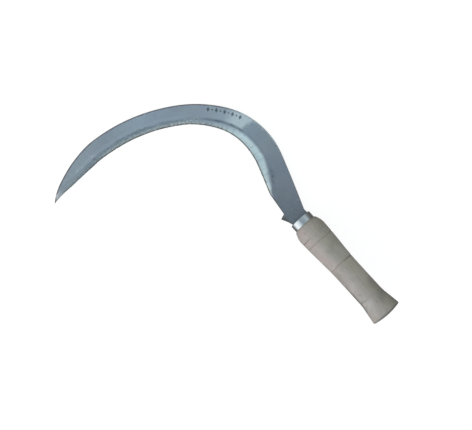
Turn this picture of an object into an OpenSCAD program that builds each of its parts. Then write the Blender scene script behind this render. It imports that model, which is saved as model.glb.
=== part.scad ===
// Hand sickle, in three pieces that come apart on a bench:
//   blade    one forging: crescent blade, heel spur, cranked shank and flat tang
//   ferrule  a short steel band round the nose of the handle
//   handle   one turned piece of wood, drilled and slotted for the tang
//
// Frame, in millimetres. The flat underside of the blade is the plane z = 0 and
// +Z points out of the ground (bevelled) face. The handle's centreline lies in
// the plane y = 0 and runs towards +X, climbing away from the blade by the
// crank angle. The origin is on the blade's underside, under that centreline,
// neck_x short of the ferrule's mouth, where the blade is still flat.

/* [Blade spine] */
// Distance along X from the origin to the ferrule's mouth, before the crank is bent
neck_x = 41; // [38:0.5:46]
// Direction in plan in which the spine leaves the shank
spine_dir = 158.7; // [156:0.1:161]
// Nearly straight run of the spine next to the shank, length
run_len = 65.3; // [60:0.5:70]
// Nearly straight run of the spine, radius
run_r = 1400; // [900:50:3000]
// Crook where the spine turns over, radius
crook_r = 89; // [80:0.5:96]
// Crook, angle turned
crook_sweep = 54.3; // [51:0.1:57]
// Top of the arc, radius
top_r = 147; // [130:1:160]
// Top of the arc, angle turned
top_sweep = 20.2; // [18:0.1:24]
// Long back of the arc, radius
back_r = 199; // [190:1:215]
// Long back of the arc, angle turned
back_sweep = 29.6; // [28:0.1:32]
// Short knuckle ahead of the point, radius
knuckle_r = 75; // [60:1:90]
// Short knuckle ahead of the point, angle turned
knuckle_sweep = 8.4; // [7:0.1:10]
// Run of the spine into the point, radius
fore_r = 145; // [130:1:160]
// Run of the spine into the point, angle turned
fore_sweep = 20.4; // [18:0.1:22]
// Rounding of the spine at the point, radius
point_r = 60; // [50:1:75]
// Rounding of the spine at the point, angle turned
point_sweep = 18.8; // [15:0.1:21]

/* [Blade section] */
// Plate thickness at the heel
blade_t = 2.6; // [2.2:0.1:3.2]
// Plate thickness at the point
point_t = 1.8; // [1.2:0.1:2.2]
// Thickness left at the cutting edge
edge_t = 0.4; // [0.3:0.1:0.8]
// Width where the spine meets the shank
neck_w = 22; // [20:0.5:24]
// Width over the heel, where the cutting edge starts
heel_w = 29; // [26:0.1:32]
// Width along the outer half of the blade
mid_w = 22; // [18:0.1:25]
// Distance along the spine from the shank to the start of the edge
heel_len = 29; // [26:1:34]
// Distance along the spine from the shank to where the blade starts to narrow
taper_from = 83.5; // [76:0.5:92]
// Distance along the spine from the shank to where it reaches its outer width
taper_to = 190; // [175:1:200]
// Length of the point, along the spine
point_len = 106; // [90:1:115]
// Ground bevel, width inside the crook
bevel_crook = 10; // [7:0.5:11]
// Ground bevel, width along the outer half
bevel_outer = 5; // [3.5:0.5:7]
// Small flat broken along the spine's corner with the ground face
spine_break = 0.4; // [0.2:0.1:0.8]

/* [Shank, spur and tang] */
// Angle between the blade and the handle
crank_deg = 7.5; // [5:0.5:10]
// Where the crank starts to bend, along X
crank_from = 12; // [10:0.5:14]
// Length over which the crank bends
crank_len = 27; // [20:0.5:27]
// Width of the shank in the ferrule
shank_w = 21.2; // [19:0.2:21.8]
// Height of the spur, from its root just inside the shank's -Y edge
spur_h = 6.6; // [4:0.2:8]
// Thickness of the spur and the tang
tang_t = 2.2; // [1.8:0.1:2.2]
// Width of the tang where it enters the wood
tang_w = 12; // [10:0.5:14]
// Width of the tang at its end
tang_end_w = 5; // [4:0.5:6]
// Length of the tang inside the wood
tang_len = 84; // [60:1:90]

/* [Ferrule] */
// Outside diameter
ferrule_d = 25.8; // [25.6:0.1:27]
// Length
ferrule_len = 8.2; // [7:0.1:9.5]
// Wall thickness
ferrule_wall = 1.2; // [0.9:0.1:1.3]
// Rounding of the ferrule's edges
ferrule_edge = 0.45; // [0.3:0.05:0.5]

/* [Handle] */
// Depth of the wooden nose inside the ferrule's mouth
nose_in = 4; // [3:0.1:5]
// Overall length from the ferrule's mouth to the rim of the butt
grip_len = 137.5; // [125:0.5:150]
// Diameter of the shoulder
shoulder_d = 34.2; // [32:0.2:37]
// Diameter of the waist
waist_d = 28.9; // [27:0.1:31]
// Diameter of the butt at its rim
butt_d = 35.8; // [33:0.2:39]
// Height of the dome on the end of the butt
butt_dome = 1.8; // [0.5:0.1:3]
// Depth of the turned grooves
groove_depth = 0.45; // [0.3:0.05:0.8]
// Width of the turned grooves
groove_w = 1.3; // [0.8:0.1:2]
// Diameter of the pilot hole for the tang
pilot_d = 6.5; // [6:0.1:7.5]
// Depth of the pilot hole past the end of the tang
pilot_past = 8; // [4:1:15]
// Gap between metal and wood, each side
fit_gap = 0.05; // [0.05:0.01:0.15]

/* [Hidden] */
$fn = 96;

// ---- blending ----
function mix(a, b, u) = a + (b - a) * u;
// 0 before a, 1 after b, straight between
function ramp(s, a, b) = min(1, max(0, (s - a) / (b - a)));
function ease(u) = u * u * (3 - 2 * u);
// A straight blend with the given share of an eased one
function soften(u, share) = mix(u, ease(u), share);
// Quarter turn of an ellipse, anticlockwise from an angle
function quarter(center, radii, from) =
    [for (a = [from : 22.5 : from + 90]) center + [radii.x * cos(a), radii.y * sin(a)]];

// ---- the spine: a chain of arcs, each one tangent to the last ----
// The spine's corner with the shank
spine_start = [neck_x - 5.2, shank_w / 2 - 0.2];
// Columns: radius, angle turned, steps
arcs = [
    [run_r, run_len / run_r * 180 / PI, 12],
    [crook_r, crook_sweep, 30],
    [top_r, top_sweep, 14],
    [back_r, back_sweep, 22],
    [knuckle_r, knuckle_sweep, 4],
    [fore_r, fore_sweep, 12],
    [point_r, point_sweep, 6],
];
last_arc = len(arcs) - 1;
function arc_length(radius, sweep) = radius * sweep * PI / 180;
// A station is [x, y, direction, distance along the spine]
function advance(station, radius, sweep) =
    let (from = station[2], to = from + sweep)
        [station.x + radius * (sin(to) - sin(from)),
         station.y - radius * (cos(to) - cos(from)),
         to,
         station[3] + arc_length(radius, sweep)];
function arc_start(i) =
    i == 0 ? [spine_start.x, spine_start.y, spine_dir, 0]
    : advance(arc_start(i - 1), arcs[i - 1][0], arcs[i - 1][1]);
stations = [
    for (i = [0 : last_arc])
        let (start = arc_start(i), radius = arcs[i][0], sweep = arcs[i][1], steps = arcs[i][2])
            for (j = [0 : steps - (i == last_arc ? 0 : 1)])
                advance(start, radius, sweep * j / steps)
];
spine_len = arc_start(last_arc + 1)[3];

// ---- how the section changes with the distance s along the spine ----
thin_from = 120;         // the plate starts to thin
outer_bevel_from = 105;  // the bevel starts to narrow
outer_bevel_to = 165;    // the bevel reaches its outer width
root_bevel = 0.6;        // bevel width before the edge starts
max_bevel_share = 0.72;  // most of the blade's width that the bevel may take
tip_w = 0.9;             // least width, at the very point
shank_bevel = 0.5;       // corner chamfer along the shank, width
shank_bevel_drop = 0.4;  // corner chamfer along the shank, depth

function body_w(s) =
    s < heel_len ? mix(neck_w, heel_w, s / heel_len)
    : mix(heel_w, mid_w, soften(ramp(s, taper_from, taper_to), 0.45));
function point_cut(s) = 1 - pow(ramp(s, spine_len - point_len, spine_len), 3);
function blade_w(s) = max(tip_w, body_w(s) * point_cut(s));
function plate_t(s) = mix(blade_t, point_t, ramp(s, thin_from, spine_len));
function bevel_w(s) =
    min(root_bevel
            + (bevel_crook - root_bevel) * ease(ramp(s, heel_len - 6, heel_len + 34))
            + (bevel_outer - bevel_crook) * ease(ramp(s, outer_bevel_from, outer_bevel_to)),
        max_bevel_share * blade_w(s));
function rim_t(s) =
    mix(plate_t(s) - shank_bevel_drop, edge_t, ease(ramp(s, heel_len - 8, heel_len + 6)));

// ---- the crank: a flat plate bent upwards about its own middle ----
bend_r = crank_len / (crank_deg * PI / 180);
mid_z = blade_t / 2;
function bend_angle(x) = crank_deg * min(x - crank_from, crank_len) / crank_len;
function bend(p) =
    p.x <= crank_from ? p
    : let (angle = bend_angle(p.x),
           past = max(0, p.x - crank_from - crank_len),
           radius = bend_r - (p.z - mid_z))
        [crank_from + radius * sin(angle) + past * cos(angle),
         p.y,
         mid_z + bend_r - radius * cos(angle) + past * sin(angle)];

// The handle's own frame: +X along the handle, from the middle of the ferrule's mouth
mouth = bend([neck_x, 0, mid_z]);
module on_handle() translate(mouth) rotate([0, -crank_deg, 0]) children();

// ---- blade ----
// One section of the blade, from the spine round to the edge and back
function ring(x, y, dir, width, thick, bevel, rim) =
    let (corner = min(spine_break, 0.2 * width))
        // Columns: distance in from the spine, height
        [for (q = [[0, 0], [0, thick - corner], [corner, thick],
                   [width - bevel, thick], [width, rim], [width, 0]])
            bend([x - sin(dir) * q[0], y + cos(dir) * q[0], q[1]])];
function shank_ring(x, y, dir, width) =
    ring(x, y, dir, width, blade_t, shank_bevel, blade_t - shank_bevel_drop);

shank_end = neck_x + nose_in - fit_gap;
fan_x = neck_x - 0.5;
fan_steps = 5;
blade_rings = concat(
    // the shank, square to the handle inside the ferrule
    [for (x = [shank_end, neck_x + nose_in / 2, fan_x])
        shank_ring(x, shank_w / 2, 180, shank_w)],
    // the heel, fanning round from the handle's square to the spine's
    [for (j = [1 : fan_steps - 1]) let (u = j / fan_steps)
        shank_ring(mix(fan_x, spine_start.x, u), mix(shank_w / 2, spine_start.y, u),
                   mix(180, spine_dir, u), mix(shank_w, neck_w, u))],
    // the blade proper
    [for (q = stations) let (s = q[3])
        ring(q.x, q.y, q[2], blade_w(s), plate_t(s), bevel_w(s), rim_t(s))]);

// A closed skin over rings of equal size, with both ends capped
module skin(rings) {
    size = len(rings[0]);
    last = len(rings) - 1;
    polyhedron(
        points = [for (r = rings) for (p = r) p],
        faces = concat(
            [for (i = [0 : last - 1]) for (k = [0 : size - 1])
                let (a = i * size + k, b = i * size + (k + 1) % size)
                    for (face = [[a, b, a + size], [b, b + size, a + size]]) face],
            [[for (k = [size - 1 : -1 : 0]) k]],
            [[for (k = [0 : size - 1]) last * size + k]]),
        convexity = 6);
}

// Spur outline; columns: X from the spur's tip, Y from the shank's -Y edge
spur_x = neck_x - 13.6;
spur_outline = [
    [-2.2, 1.6], [-1.3, -0.35 * spur_h], [0, 1.6 - spur_h], [4.6, 0.9 - 0.55 * spur_h],
    [10.8, -0.9], [11.4, 0.3], [12.2, 2.5], [2, 5],
];
// Distance from the spur's tip to where its flat plate touches the crank's curve
spur_touch = 2;

// The spur at the -Y corner of the heel, lying in the bent plate
module spur() {
    touch_x = spur_x + spur_touch;
    translate(bend([touch_x, 0, mid_z])) rotate([0, -bend_angle(touch_x), 0])
        translate([-spur_touch, -shank_w / 2, -tang_t / 2])
            linear_extrude(tang_t) polygon(spur_outline);
}

// Flat tapered tang in the handle's frame, from start_x, grown by gap for the slot
module tang_plate(start_x, gap = 0) {
    end_x = nose_in + tang_len;
    side = [
        [start_x, tang_w / 2 + gap],
        [nose_in + 6, tang_w / 2 + gap],
        [end_x - 3, tang_end_w / 2 + gap],
        [end_x + gap, 0.6 + gap],
    ];
    translate([0, 0, -tang_t / 2 - gap]) linear_extrude(tang_t + 2 * gap)
        polygon(concat([for (p = side) [p.x, -p.y]],
                       [for (i = [len(side) - 1 : -1 : 0]) side[i]]));
}

module blade() {
    color([0.49, 0.55, 0.60]) union() {
        skin(blade_rings);
        spur();
        // starts inside the shank, to join it
        on_handle() tang_plate(nose_in - 3);
    }
}

// ---- ferrule: outline in radius and distance from the mouth ----
ferrule_r = ferrule_d / 2;
bore_r = ferrule_r - ferrule_wall;
lip = 0.12; // small rounding at the mouth's inner edge

module ferrule() {
    edge = ferrule_edge;
    color([0.78, 0.81, 0.83]) on_handle() rotate([0, 90, 0]) rotate_extrude()
        polygon(concat(
            [[bore_r, edge], [bore_r + lip, lip]],
            quarter([bore_r + ferrule_wall / 2, lip], [ferrule_wall / 2 - lip, lip], 180),
            quarter([ferrule_r - edge, edge], [edge, edge], 270),
            quarter([ferrule_r - edge, ferrule_len - edge], [edge, edge], 0),
            [[bore_r, ferrule_len]]));
}

// ---- handle: outline in radius and distance from the ferrule's mouth ----
seat = ferrule_len + fit_gap;
nose_r = bore_r - fit_gap;
nose_chamfer = 0.5;
step_r = ferrule_r + 0.6;
shoulder_at = 20;
waist_at = 74;
flare_at = grip_len - 26;
rim_r = 0.9;
function outline(dist) =
    dist < shoulder_at
        ? mix(step_r, shoulder_d / 2, pow(sin(90 * ramp(dist, seat, shoulder_at)), 0.8))
    : dist < flare_at
        ? mix(shoulder_d / 2, waist_d / 2, soften(ramp(dist, shoulder_at, waist_at), 0.55))
    : mix(waist_d / 2, butt_d / 2,
          0.1 * ramp(dist, flare_at, grip_len - 18)
              + 0.9 * pow(ramp(dist, grip_len - 20, grip_len), 0.95));

grooves = [24.2, 32.3, 65.7, grip_len - 25.5, grip_len - 16];
// 1 at the bottom of a groove, 0 outside it
function in_groove(dist) = max([for (g = grooves) max(0, 1 - abs(dist - g) / (groove_w / 2))]);
// Plain stretches before, between and after the grooves; columns: from, step, limit
stretches = [
    [21.5, 2.5, 23],
    [26, 2.5, 31],
    [34.5, 3, 64],
    [68.5, 3, grip_len - 27.5],
    [grip_len - 23.5, 2, grip_len - 17.5],
    [grip_len - 14, 2, grip_len - 2],
];
grip_stations = concat(
    [for (dist = [seat : 1.5 : shoulder_at]) dist],
    [for (i = [0 : len(grooves)]) let (span = stretches[i])
        for (dist = concat(
                [for (d = [span[0] : span[1] : span[2]]) d],
                i < len(grooves) ? [for (k = [-1 : 1]) grooves[i] + k * groove_w / 2] : []))
            dist]);

module turned_grip() {
    dome_r = butt_d / 2 - rim_r;
    rotate([0, 90, 0]) rotate_extrude()
        polygon(concat(
            [[0, nose_in], [nose_r - nose_chamfer, nose_in],
             [nose_r, nose_in + nose_chamfer], [nose_r, seat]],
            [for (dist = grip_stations) [outline(dist) - groove_depth * in_groove(dist), dist]],
            quarter([dome_r, grip_len - rim_r], [rim_r, rim_r], 0),
            [for (u = [0.8 : -0.2 : 0]) [u * dome_r, grip_len + butt_dome * (1 - u * u)]]));
}

module handle() {
    cut_from = nose_in - 1;
    color([0.62, 0.59, 0.55]) on_handle() difference() {
        turned_grip();
        // pilot hole
        translate([cut_from, 0, 0]) rotate([0, 90, 0])
            cylinder(d = pilot_d, h = tang_len + pilot_past + 1);
        // slot for the tang
        tang_plate(cut_from, fit_gap);
    }
}

blade();
ferrule();
handle();
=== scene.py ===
"""Looks of the hand sickle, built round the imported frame.

Every visible piece is a dense mesh made here in code, in the row frame, from the
same design dimensions as the CAD solid it stands for. Lengths below are in
millimetres and are turned into metres when a mesh is made.
"""
import math

import bmesh
import bpy
import numpy as np
from mathutils import Matrix, Vector


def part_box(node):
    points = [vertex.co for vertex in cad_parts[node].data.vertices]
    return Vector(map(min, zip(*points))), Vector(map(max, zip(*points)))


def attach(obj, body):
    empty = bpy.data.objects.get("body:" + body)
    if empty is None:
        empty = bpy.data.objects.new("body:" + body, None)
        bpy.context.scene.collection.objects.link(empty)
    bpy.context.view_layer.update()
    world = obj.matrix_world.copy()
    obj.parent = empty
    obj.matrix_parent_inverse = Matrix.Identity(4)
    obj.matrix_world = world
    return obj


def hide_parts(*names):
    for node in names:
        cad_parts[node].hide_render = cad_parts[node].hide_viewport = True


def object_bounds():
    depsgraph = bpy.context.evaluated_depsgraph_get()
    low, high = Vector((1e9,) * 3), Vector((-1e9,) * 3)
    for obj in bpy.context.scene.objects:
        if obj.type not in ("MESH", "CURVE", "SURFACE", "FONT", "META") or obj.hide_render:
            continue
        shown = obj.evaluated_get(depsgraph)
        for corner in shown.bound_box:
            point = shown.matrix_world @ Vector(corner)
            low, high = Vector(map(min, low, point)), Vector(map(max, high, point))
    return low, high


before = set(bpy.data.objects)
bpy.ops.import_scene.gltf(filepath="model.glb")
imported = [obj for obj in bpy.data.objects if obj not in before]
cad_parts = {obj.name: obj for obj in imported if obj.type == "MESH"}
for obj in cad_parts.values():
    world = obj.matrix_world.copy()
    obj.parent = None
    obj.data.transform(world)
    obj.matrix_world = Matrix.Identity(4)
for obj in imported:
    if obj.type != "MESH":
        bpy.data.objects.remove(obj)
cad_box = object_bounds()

MM = 0.001

# --------------------------------------------------------------------------
# design dimensions, as in the CAD source (mm, degrees)
# --------------------------------------------------------------------------
NECK_X = 41.0
SHANK_W = 21.2
SPINE_DIR = 158.7
ARC_R = [1400.0, 89.0, 147.0, 199.0, 75.0, 145.0, 60.0]
ARC_SWEEP = [math.degrees(65.3 / 1400.0), 54.3, 20.2, 29.6, 8.4, 20.4, 18.8]
BLADE_T, POINT_T = 2.6, 1.8
NECK_W, HEEL_W, MID_W = 22.0, 29.0, 22.0
HEEL_LEN, TAPER_FROM, TAPER_TO, POINT_LEN = 29.0, 83.5, 190.0, 106.0
CRANK, CRANK_FROM, CRANK_LEN = math.radians(7.5), 12.0, 27.0
TANG_T, TANG_W, TANG_END_W, TANG_LEN = 2.2, 12.0, 5.0, 84.0
NOSE_IN, GAP = 4.0, 0.05
FERRULE_D, FERRULE_LEN, FERRULE_WALL = 25.8, 8.2, 1.2
GRIP_LEN, SHOULDER_D, WAIST_D, BUTT_D, BUTT_DOME = 137.5, 34.2, 28.9, 35.8, 1.8
PILOT_D, PILOT_LEN = 6.5, 92.0
GROOVES = [24.2, 32.3, 65.7, GRIP_LEN - 25.5, GRIP_LEN - 16.0]


# --------------------------------------------------------------------------
# seeded noise on arrays
# --------------------------------------------------------------------------
def _hash(ix, iy, iz, seed):
    h = (ix.astype(np.uint64) * np.uint64(0x9E3779B1) + iy.astype(np.uint64) * np.uint64(0x85EBCA77)
         + iz.astype(np.uint64) * np.uint64(0xC2B2AE3D) + np.uint64(seed * 0x27D4EB2F + 12345))
    h &= np.uint64(0xFFFFFFFF)
    for m in (0x2C1B3C6D, 0x297A2D39):
        h ^= h >> np.uint64(15)
        h = (h * np.uint64(m)) & np.uint64(0xFFFFFFFF)
    h ^= h >> np.uint64(16)
    return (h & np.uint64(0xFFFFFF)).astype(float) / float(0xFFFFFF)


def noise3(x, y, z=None, seed=0):
    """Smooth value noise, -1 to 1, one feature per unit."""
    x, y = np.asarray(x, float), np.asarray(y, float)
    z = np.zeros_like(x) if z is None else np.asarray(z, float)
    x, y, z = x + 1000.0, y + 1000.0, z + 1000.0
    ix, iy, iz = np.floor(x), np.floor(y), np.floor(z)
    fx, fy, fz = x - ix, y - iy, z - iz
    ux, uy, uz = (f * f * f * (f * (f * 6 - 15) + 10) for f in (fx, fy, fz))
    ix, iy, iz = ix.astype(np.int64), iy.astype(np.int64), iz.astype(np.int64)
    out = 0.0
    for dx in (0, 1):
        wx = ux if dx else 1 - ux
        for dy in (0, 1):
            wy = uy if dy else 1 - uy
            for dz in (0, 1):
                wz = uz if dz else 1 - uz
                out = out + wx * wy * wz * _hash(ix + dx, iy + dy, iz + dz, seed)
    return out * 2 - 1


def fbm(x, y, z=None, seed=0, octaves=4, gain=0.5):
    total, amp, norm = 0.0, 1.0, 0.0
    z = np.zeros_like(np.asarray(x, float)) if z is None else z
    for o in range(octaves):
        f = 2.03 ** o
        total = total + amp * noise3(np.asarray(x) * f + 17.3 * o, np.asarray(y) * f - 9.1 * o, np.asarray(z) * f + 4.7 * o, seed + o)
        norm += amp
        amp *= gain
    return total / norm


def cells(x, y, seed=0, jitter=0.8):
    """Distance to the nearest and second nearest point of a jittered grid, and the nearest's own number."""
    x, y = np.asarray(x, float) + 1000.0, np.asarray(y, float) + 1000.0
    ix, iy = np.floor(x).astype(np.int64), np.floor(y).astype(np.int64)
    d1 = np.full(x.shape, 9.0)
    d2 = np.full(x.shape, 9.0)
    own = np.zeros(x.shape)
    zero = np.zeros_like(ix)
    for dx in (-1, 0, 1):
        for dy in (-1, 0, 1):
            cx, cy = ix + dx, iy + dy
            px = cx + 0.5 + jitter * (_hash(cx, cy, zero, seed) - 0.5)
            py = cy + 0.5 + jitter * (_hash(cx, cy, zero + 1, seed) - 0.5)
            d = np.hypot(px - x, py - y)
            closer = d < d1
            d2 = np.where(closer, d1, np.minimum(d2, d))
            own = np.where(closer, _hash(cx, cy, zero + 2, seed), own)
            d1 = np.where(closer, d, d1)
    return d1, d2, own


def ease(u):
    u = np.clip(u, 0.0, 1.0)
    return u * u * (3 - 2 * u)


def ramp(s, a, b):
    return np.clip((np.asarray(s, float) - a) / (b - a), 0.0, 1.0)


def bump(s, centre, half):
    """1 at the centre, smoothly 0 at half each side."""
    return ease(1 - np.abs(np.asarray(s, float) - centre) / half)


# --------------------------------------------------------------------------
# meshes
# --------------------------------------------------------------------------
def add_mesh(name, verts_mm, faces, attributes, sharp=38.0):
    me = bpy.data.meshes.new(name)
    me.from_pydata([tuple(v) for v in (np.asarray(verts_mm) * MM)], [], faces)
    me.update()
    for key, values in attributes.items():
        at = me.attributes.new(key, "FLOAT", "POINT")
        at.data.foreach_set("value", np.ascontiguousarray(values, np.float32))
    bm = bmesh.new()
    bm.from_mesh(me)
    bmesh.ops.recalc_face_normals(bm, faces=bm.faces)
    if bm.calc_volume(signed=True) < 0:
        bmesh.ops.reverse_faces(bm, faces=bm.faces)
    bm.to_mesh(me)
    bm.free()
    me.shade_smooth()
    me.set_sharp_from_angle(angle=math.radians(sharp))
    ob = bpy.data.objects.new(name, me)
    bpy.context.scene.collection.objects.link(ob)
    return ob


def grid_faces(m, n, first=0, closed=True):
    """Quads between m rings of n points."""
    faces = []
    last = n if closed else n - 1
    for i in range(m - 1):
        a0, b0 = first + i * n, first + (i + 1) * n
        for k in range(last):
            k2 = (k + 1) % n
            faces.append((a0 + k, a0 + k2, b0 + k2, b0 + k))
    return faces


# ---- the crank ----
BEND_R = CRANK_LEN / CRANK
MID_Z = BLADE_T / 2


def bend(x, y, z):
    """The flat plate bent upwards about its own middle."""
    l = np.clip(x - CRANK_FROM, 0, CRANK_LEN)
    a = l / BEND_R
    e = np.clip(x - CRANK_FROM - CRANK_LEN, 0, None)
    k = BEND_R - (z - MID_Z)
    bx = CRANK_FROM + k * np.sin(a) + e * np.cos(a)
    bz = MID_Z + BEND_R - k * np.cos(a) + e * np.sin(a)
    flat = x <= CRANK_FROM
    return np.where(flat, x, bx), y, np.where(flat, z, bz)


_m = bend(np.array([NECK_X]), np.array([0.0]), np.array([MID_Z]))
MOUTH = np.array([_m[0][0], 0.0, _m[2][0]])


def on_handle(t, y, z):
    """From the handle's own frame (t along it, from the ferrule's mouth) to the row frame."""
    c, s = math.cos(CRANK), math.sin(CRANK)
    return np.stack([MOUTH[0] + t * c - z * s, MOUTH[1] + y, MOUTH[2] + t * s + z * c], -1)


# ---- the spine ----
def spine_table():
    s0, p, a = 0.0, np.array([NECK_X - 5.2, SHANK_W / 2 - 0.2]), SPINE_DIR
    rows = []
    for r, sw in zip(ARC_R, ARC_SWEEP):
        rows.append((s0, p[0], p[1], a, r))
        a1 = math.radians(a + sw)
        a0 = math.radians(a)
        p = p + np.array([r * (math.sin(a1) - math.sin(a0)), -r * (math.cos(a1) - math.cos(a0))])
        s0 += r * math.radians(sw)
        a += sw
    return np.array(rows), s0


SPINE, SPINE_S = spine_table()


def spine_at(s):
    s = np.asarray(s, float)
    i = np.clip(np.searchsorted(SPINE[:, 0], s, side="right") - 1, 0, len(SPINE) - 1)
    s0, x, y, a, r = (SPINE[i, k] for k in range(5))
    a0 = np.radians(a)
    a1 = a0 + (s - s0) / r
    return x + r * (np.sin(a1) - np.sin(a0)), y - r * (np.cos(a1) - np.cos(a0)), a1


def body_w(s):
    u = ramp(s, TAPER_FROM, TAPER_TO)
    w = np.where(s < HEEL_LEN, NECK_W + (HEEL_W - NECK_W) * s / HEEL_LEN,
                 HEEL_W + (MID_W - HEEL_W) * (0.55 * u + 0.45 * ease(u)))
    q = ramp(s, SPINE_S - POINT_LEN, SPINE_S)
    return w * (1 - q ** 3)


# ---- the outline of the heel and its spur, in the flat plate ----
HEEL_LINE = np.array([[24.9, -9.55], [25.35, -10.4], [25.9, -12.0], [26.7, -14.2], [27.45, -15.75], [28.2, -15.45],
                      [30.2, -14.45], [32.6, -13.25], [35.2, -12.05], [37.6, -11.25], [38.6, -10.85], [39.4, -10.6], [60.0, -10.6]])


def heel_width(px, py, dx, dy):
    """How far the line from (px, py) along (dx, dy) runs before it leaves the heel."""
    best = np.full(np.shape(px), 1e9)
    for (x0, y0), (x1, y1) in zip(HEEL_LINE[:-1], HEEL_LINE[1:]):
        ex, ey = x1 - x0, y1 - y0
        det = dx * -ey + ex * dy
        det = np.where(np.abs(det) < 1e-9, 1e-9, det)
        qx, qy = x0 - px, y0 - py
        lam = (qx * -ey + ex * qy) / det
        u = (dx * qy - dy * qx) / det
        ok = (u >= -1e-6) & (u <= 1 + 1e-6) & (lam > 0)
        best = np.where(ok & (lam < best), lam, best)
    return best


def build_blade():
    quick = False
    ds = 1.2 if quick else 0.66
    # ---- stations, from the point back to the end of the tang ----
    s_tip = SPINE_S - np.concatenate([[0.0, 0.12, 0.3, 0.55, 0.85, 1.25, 1.75, 2.3], np.arange(2.85, 6, 0.55)])
    s_rest = np.arange(SPINE_S - 6.2, 2.0, -ds)
    fine = np.arange(MARK_S1 + 1.2, MARK_S0 - 1.2, -0.36)
    s_all = np.concatenate([s_tip, s_rest[(s_rest > MARK_S1 + 1.2) | (s_rest < MARK_S0 - 1.2)], fine, [1.9, 1.5, 1.1, 0.75, 0.4, 0.15]])
    s_all = np.unique(np.round(s_all, 4))[::-1]
    sx, sy, sa = spine_at(s_all)
    dx, dy = -np.sin(sa), np.cos(sa)
    w = body_w(s_all)
    near = s_all < 4.5
    w = np.where(near, np.minimum(np.where(s_all > 2.4, w, 1e9), heel_width(sx, sy, dx, dy)), w)
    w = np.maximum(w, 0.25)
    st = [np.stack([sx, sy, dx, dy, w, s_all], -1)]
    # the heel, fanning round to the handle's square
    f = np.unique(np.concatenate([np.linspace(0, 1, 26), np.linspace(0.02, 0.5, 30)]))[1:]
    x0, y0, a0 = NECK_X - 5.2, SHANK_W / 2 - 0.2, math.radians(SPINE_DIR)
    fx = x0 + 4.7 * f ** 1.2
    fy = y0 + 0.2 * ease(f)
    fa = a0 + (math.pi - a0) * f
    fdx, fdy = -np.sin(fa), np.cos(fa)
    st.append(np.stack([fx, fy, fdx, fdy, heel_width(fx, fy, fdx, fdy), -5 * f], -1))
    # the shank in the ferrule
    end = NECK_X + NOSE_IN - GAP
    hx = np.linspace(x0 + 4.7 + 0.5, end, 9)
    hw = np.full(hx.shape, SHANK_W) - 0.5 * ramp(hx, end - 0.6, end) ** 2
    st.append(np.stack([hx, hw / 2, 0 * hx, 0 * hx - 1, hw, -5 - (hx - x0 - 4.7)], -1))
    # the tang
    tx = np.concatenate([[0.0, 0.05, 2, 6], np.linspace(8, TANG_LEN - 3, 40), [TANG_LEN - 2, TANG_LEN - 1, TANG_LEN - 0.3, TANG_LEN]]) + end + GAP
    tt = tx - end - GAP
    tw = np.interp(tt, [0, 6, TANG_LEN - 3, TANG_LEN], [TANG_W, TANG_W, TANG_END_W, 1.2])
    st.append(np.stack([tx - GAP, tw / 2, 0 * tx, 0 * tx - 1, tw, -12 - tt], -1))
    n_tang = len(tx)
    st = np.concatenate(st)
    px, py, dx, dy, w, s = st.T
    tang = np.zeros(len(st), bool)
    tang[-n_tang:] = True

    # ---- how far in from the spine, and from the edge, the points of a ring lie ----
    r0 = 0.42
    corner = r0 * (1 - np.cos(np.linspace(0, math.pi / 2, 6)))
    spine_side = np.concatenate([corner, np.arange(0.75, 9.6, 0.3 if not quick else 0.8)])
    edge_side = np.concatenate([[0.0, 0.06, 0.16, 0.3], np.arange(0.55, 11.0, 0.42 if not quick else 0.9)])
    n_mid = 16 if not quick else 8
    a = np.minimum(1, w * 0.40 / spine_side[-1])[:, None]
    b = np.minimum(1, w * 0.46 / edge_side[-1])[:, None]
    v_sp = spine_side[None] * a
    v_ed = w[:, None] - edge_side[None, ::-1] * b
    u = np.linspace(0, 1, n_mid + 2)[None, 1:-1]
    v_mid = v_sp[:, -1:] * (1 - u) + v_ed[:, :1] * u
    v_top = np.concatenate([v_sp, v_mid, v_ed], 1)
    # the underside is plainer
    c2 = np.concatenate([corner, [0.8, 1.4, 2.4, 3.8, 5.6, 7.6]])
    e2 = np.concatenate([[0.06, 0.2, 0.5], np.arange(1.0, 8.0, 0.8)])
    v_c2 = c2[None] * np.minimum(1, w * 0.4 / c2[-1])[:, None]
    v_e2 = w[:, None] - e2[None, ::-1] * np.minimum(1, w * 0.46 / e2[-1])[:, None]
    n2 = 12
    u = np.linspace(0, 1, n2 + 2)[None, 1:-1]
    v_bot = np.concatenate([v_c2, v_c2[:, -1:] * (1 - u) + v_e2[:, :1] * u, v_e2], 1)

    S_t = np.repeat(s[:, None], v_top.shape[1], 1)
    S_b = np.repeat(s[:, None], v_bot.shape[1], 1)
    W_t = np.repeat(w[:, None], v_top.shape[1], 1)
    W_b = np.repeat(w[:, None], v_bot.shape[1], 1)

    def flat_xy(v):
        return px[:, None] + dx[:, None] * v, py[:, None] + dy[:, None] * v

    # ---- plate thickness along the blade ----
    t = BLADE_T + (POINT_T - BLADE_T) * ramp(s, 120, SPINE_S)
    t = t * (0.35 + 0.65 * ease(ramp(SPINE_S - s, 0, 14)) ** 0.5)
    t = np.where(tang, TANG_T, t)
    T_t, T_b = t[:, None] + 0 * S_t, t[:, None] + 0 * S_b
    mid = np.where(tang, (BLADE_T - TANG_T) / 2, 0.0)[:, None]

    # ---- top side ----
    E = W_t - v_top
    X, Y = flat_xy(v_top)
    body = ramp(S_t, 6, 30) * ramp(SPINE_S - S_t, 0, 10)
    # the ground bevel: wide in the crook, a narrow hammered strip further out
    b_w = bevel_width(S_t, X, Y)
    b_w = np.minimum(b_w, 0.74 * W_t)
    grind = ease(ramp(S_t, HEEL_LEN - 9, HEEL_LEN + 8))
    edge_h = 0.28 + 0.12 * noise3(S_t / 2.2, 0 * S_t, seed=31)
    q = E / np.maximum(b_w, 0.3)
    drop = T_t - edge_h
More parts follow.
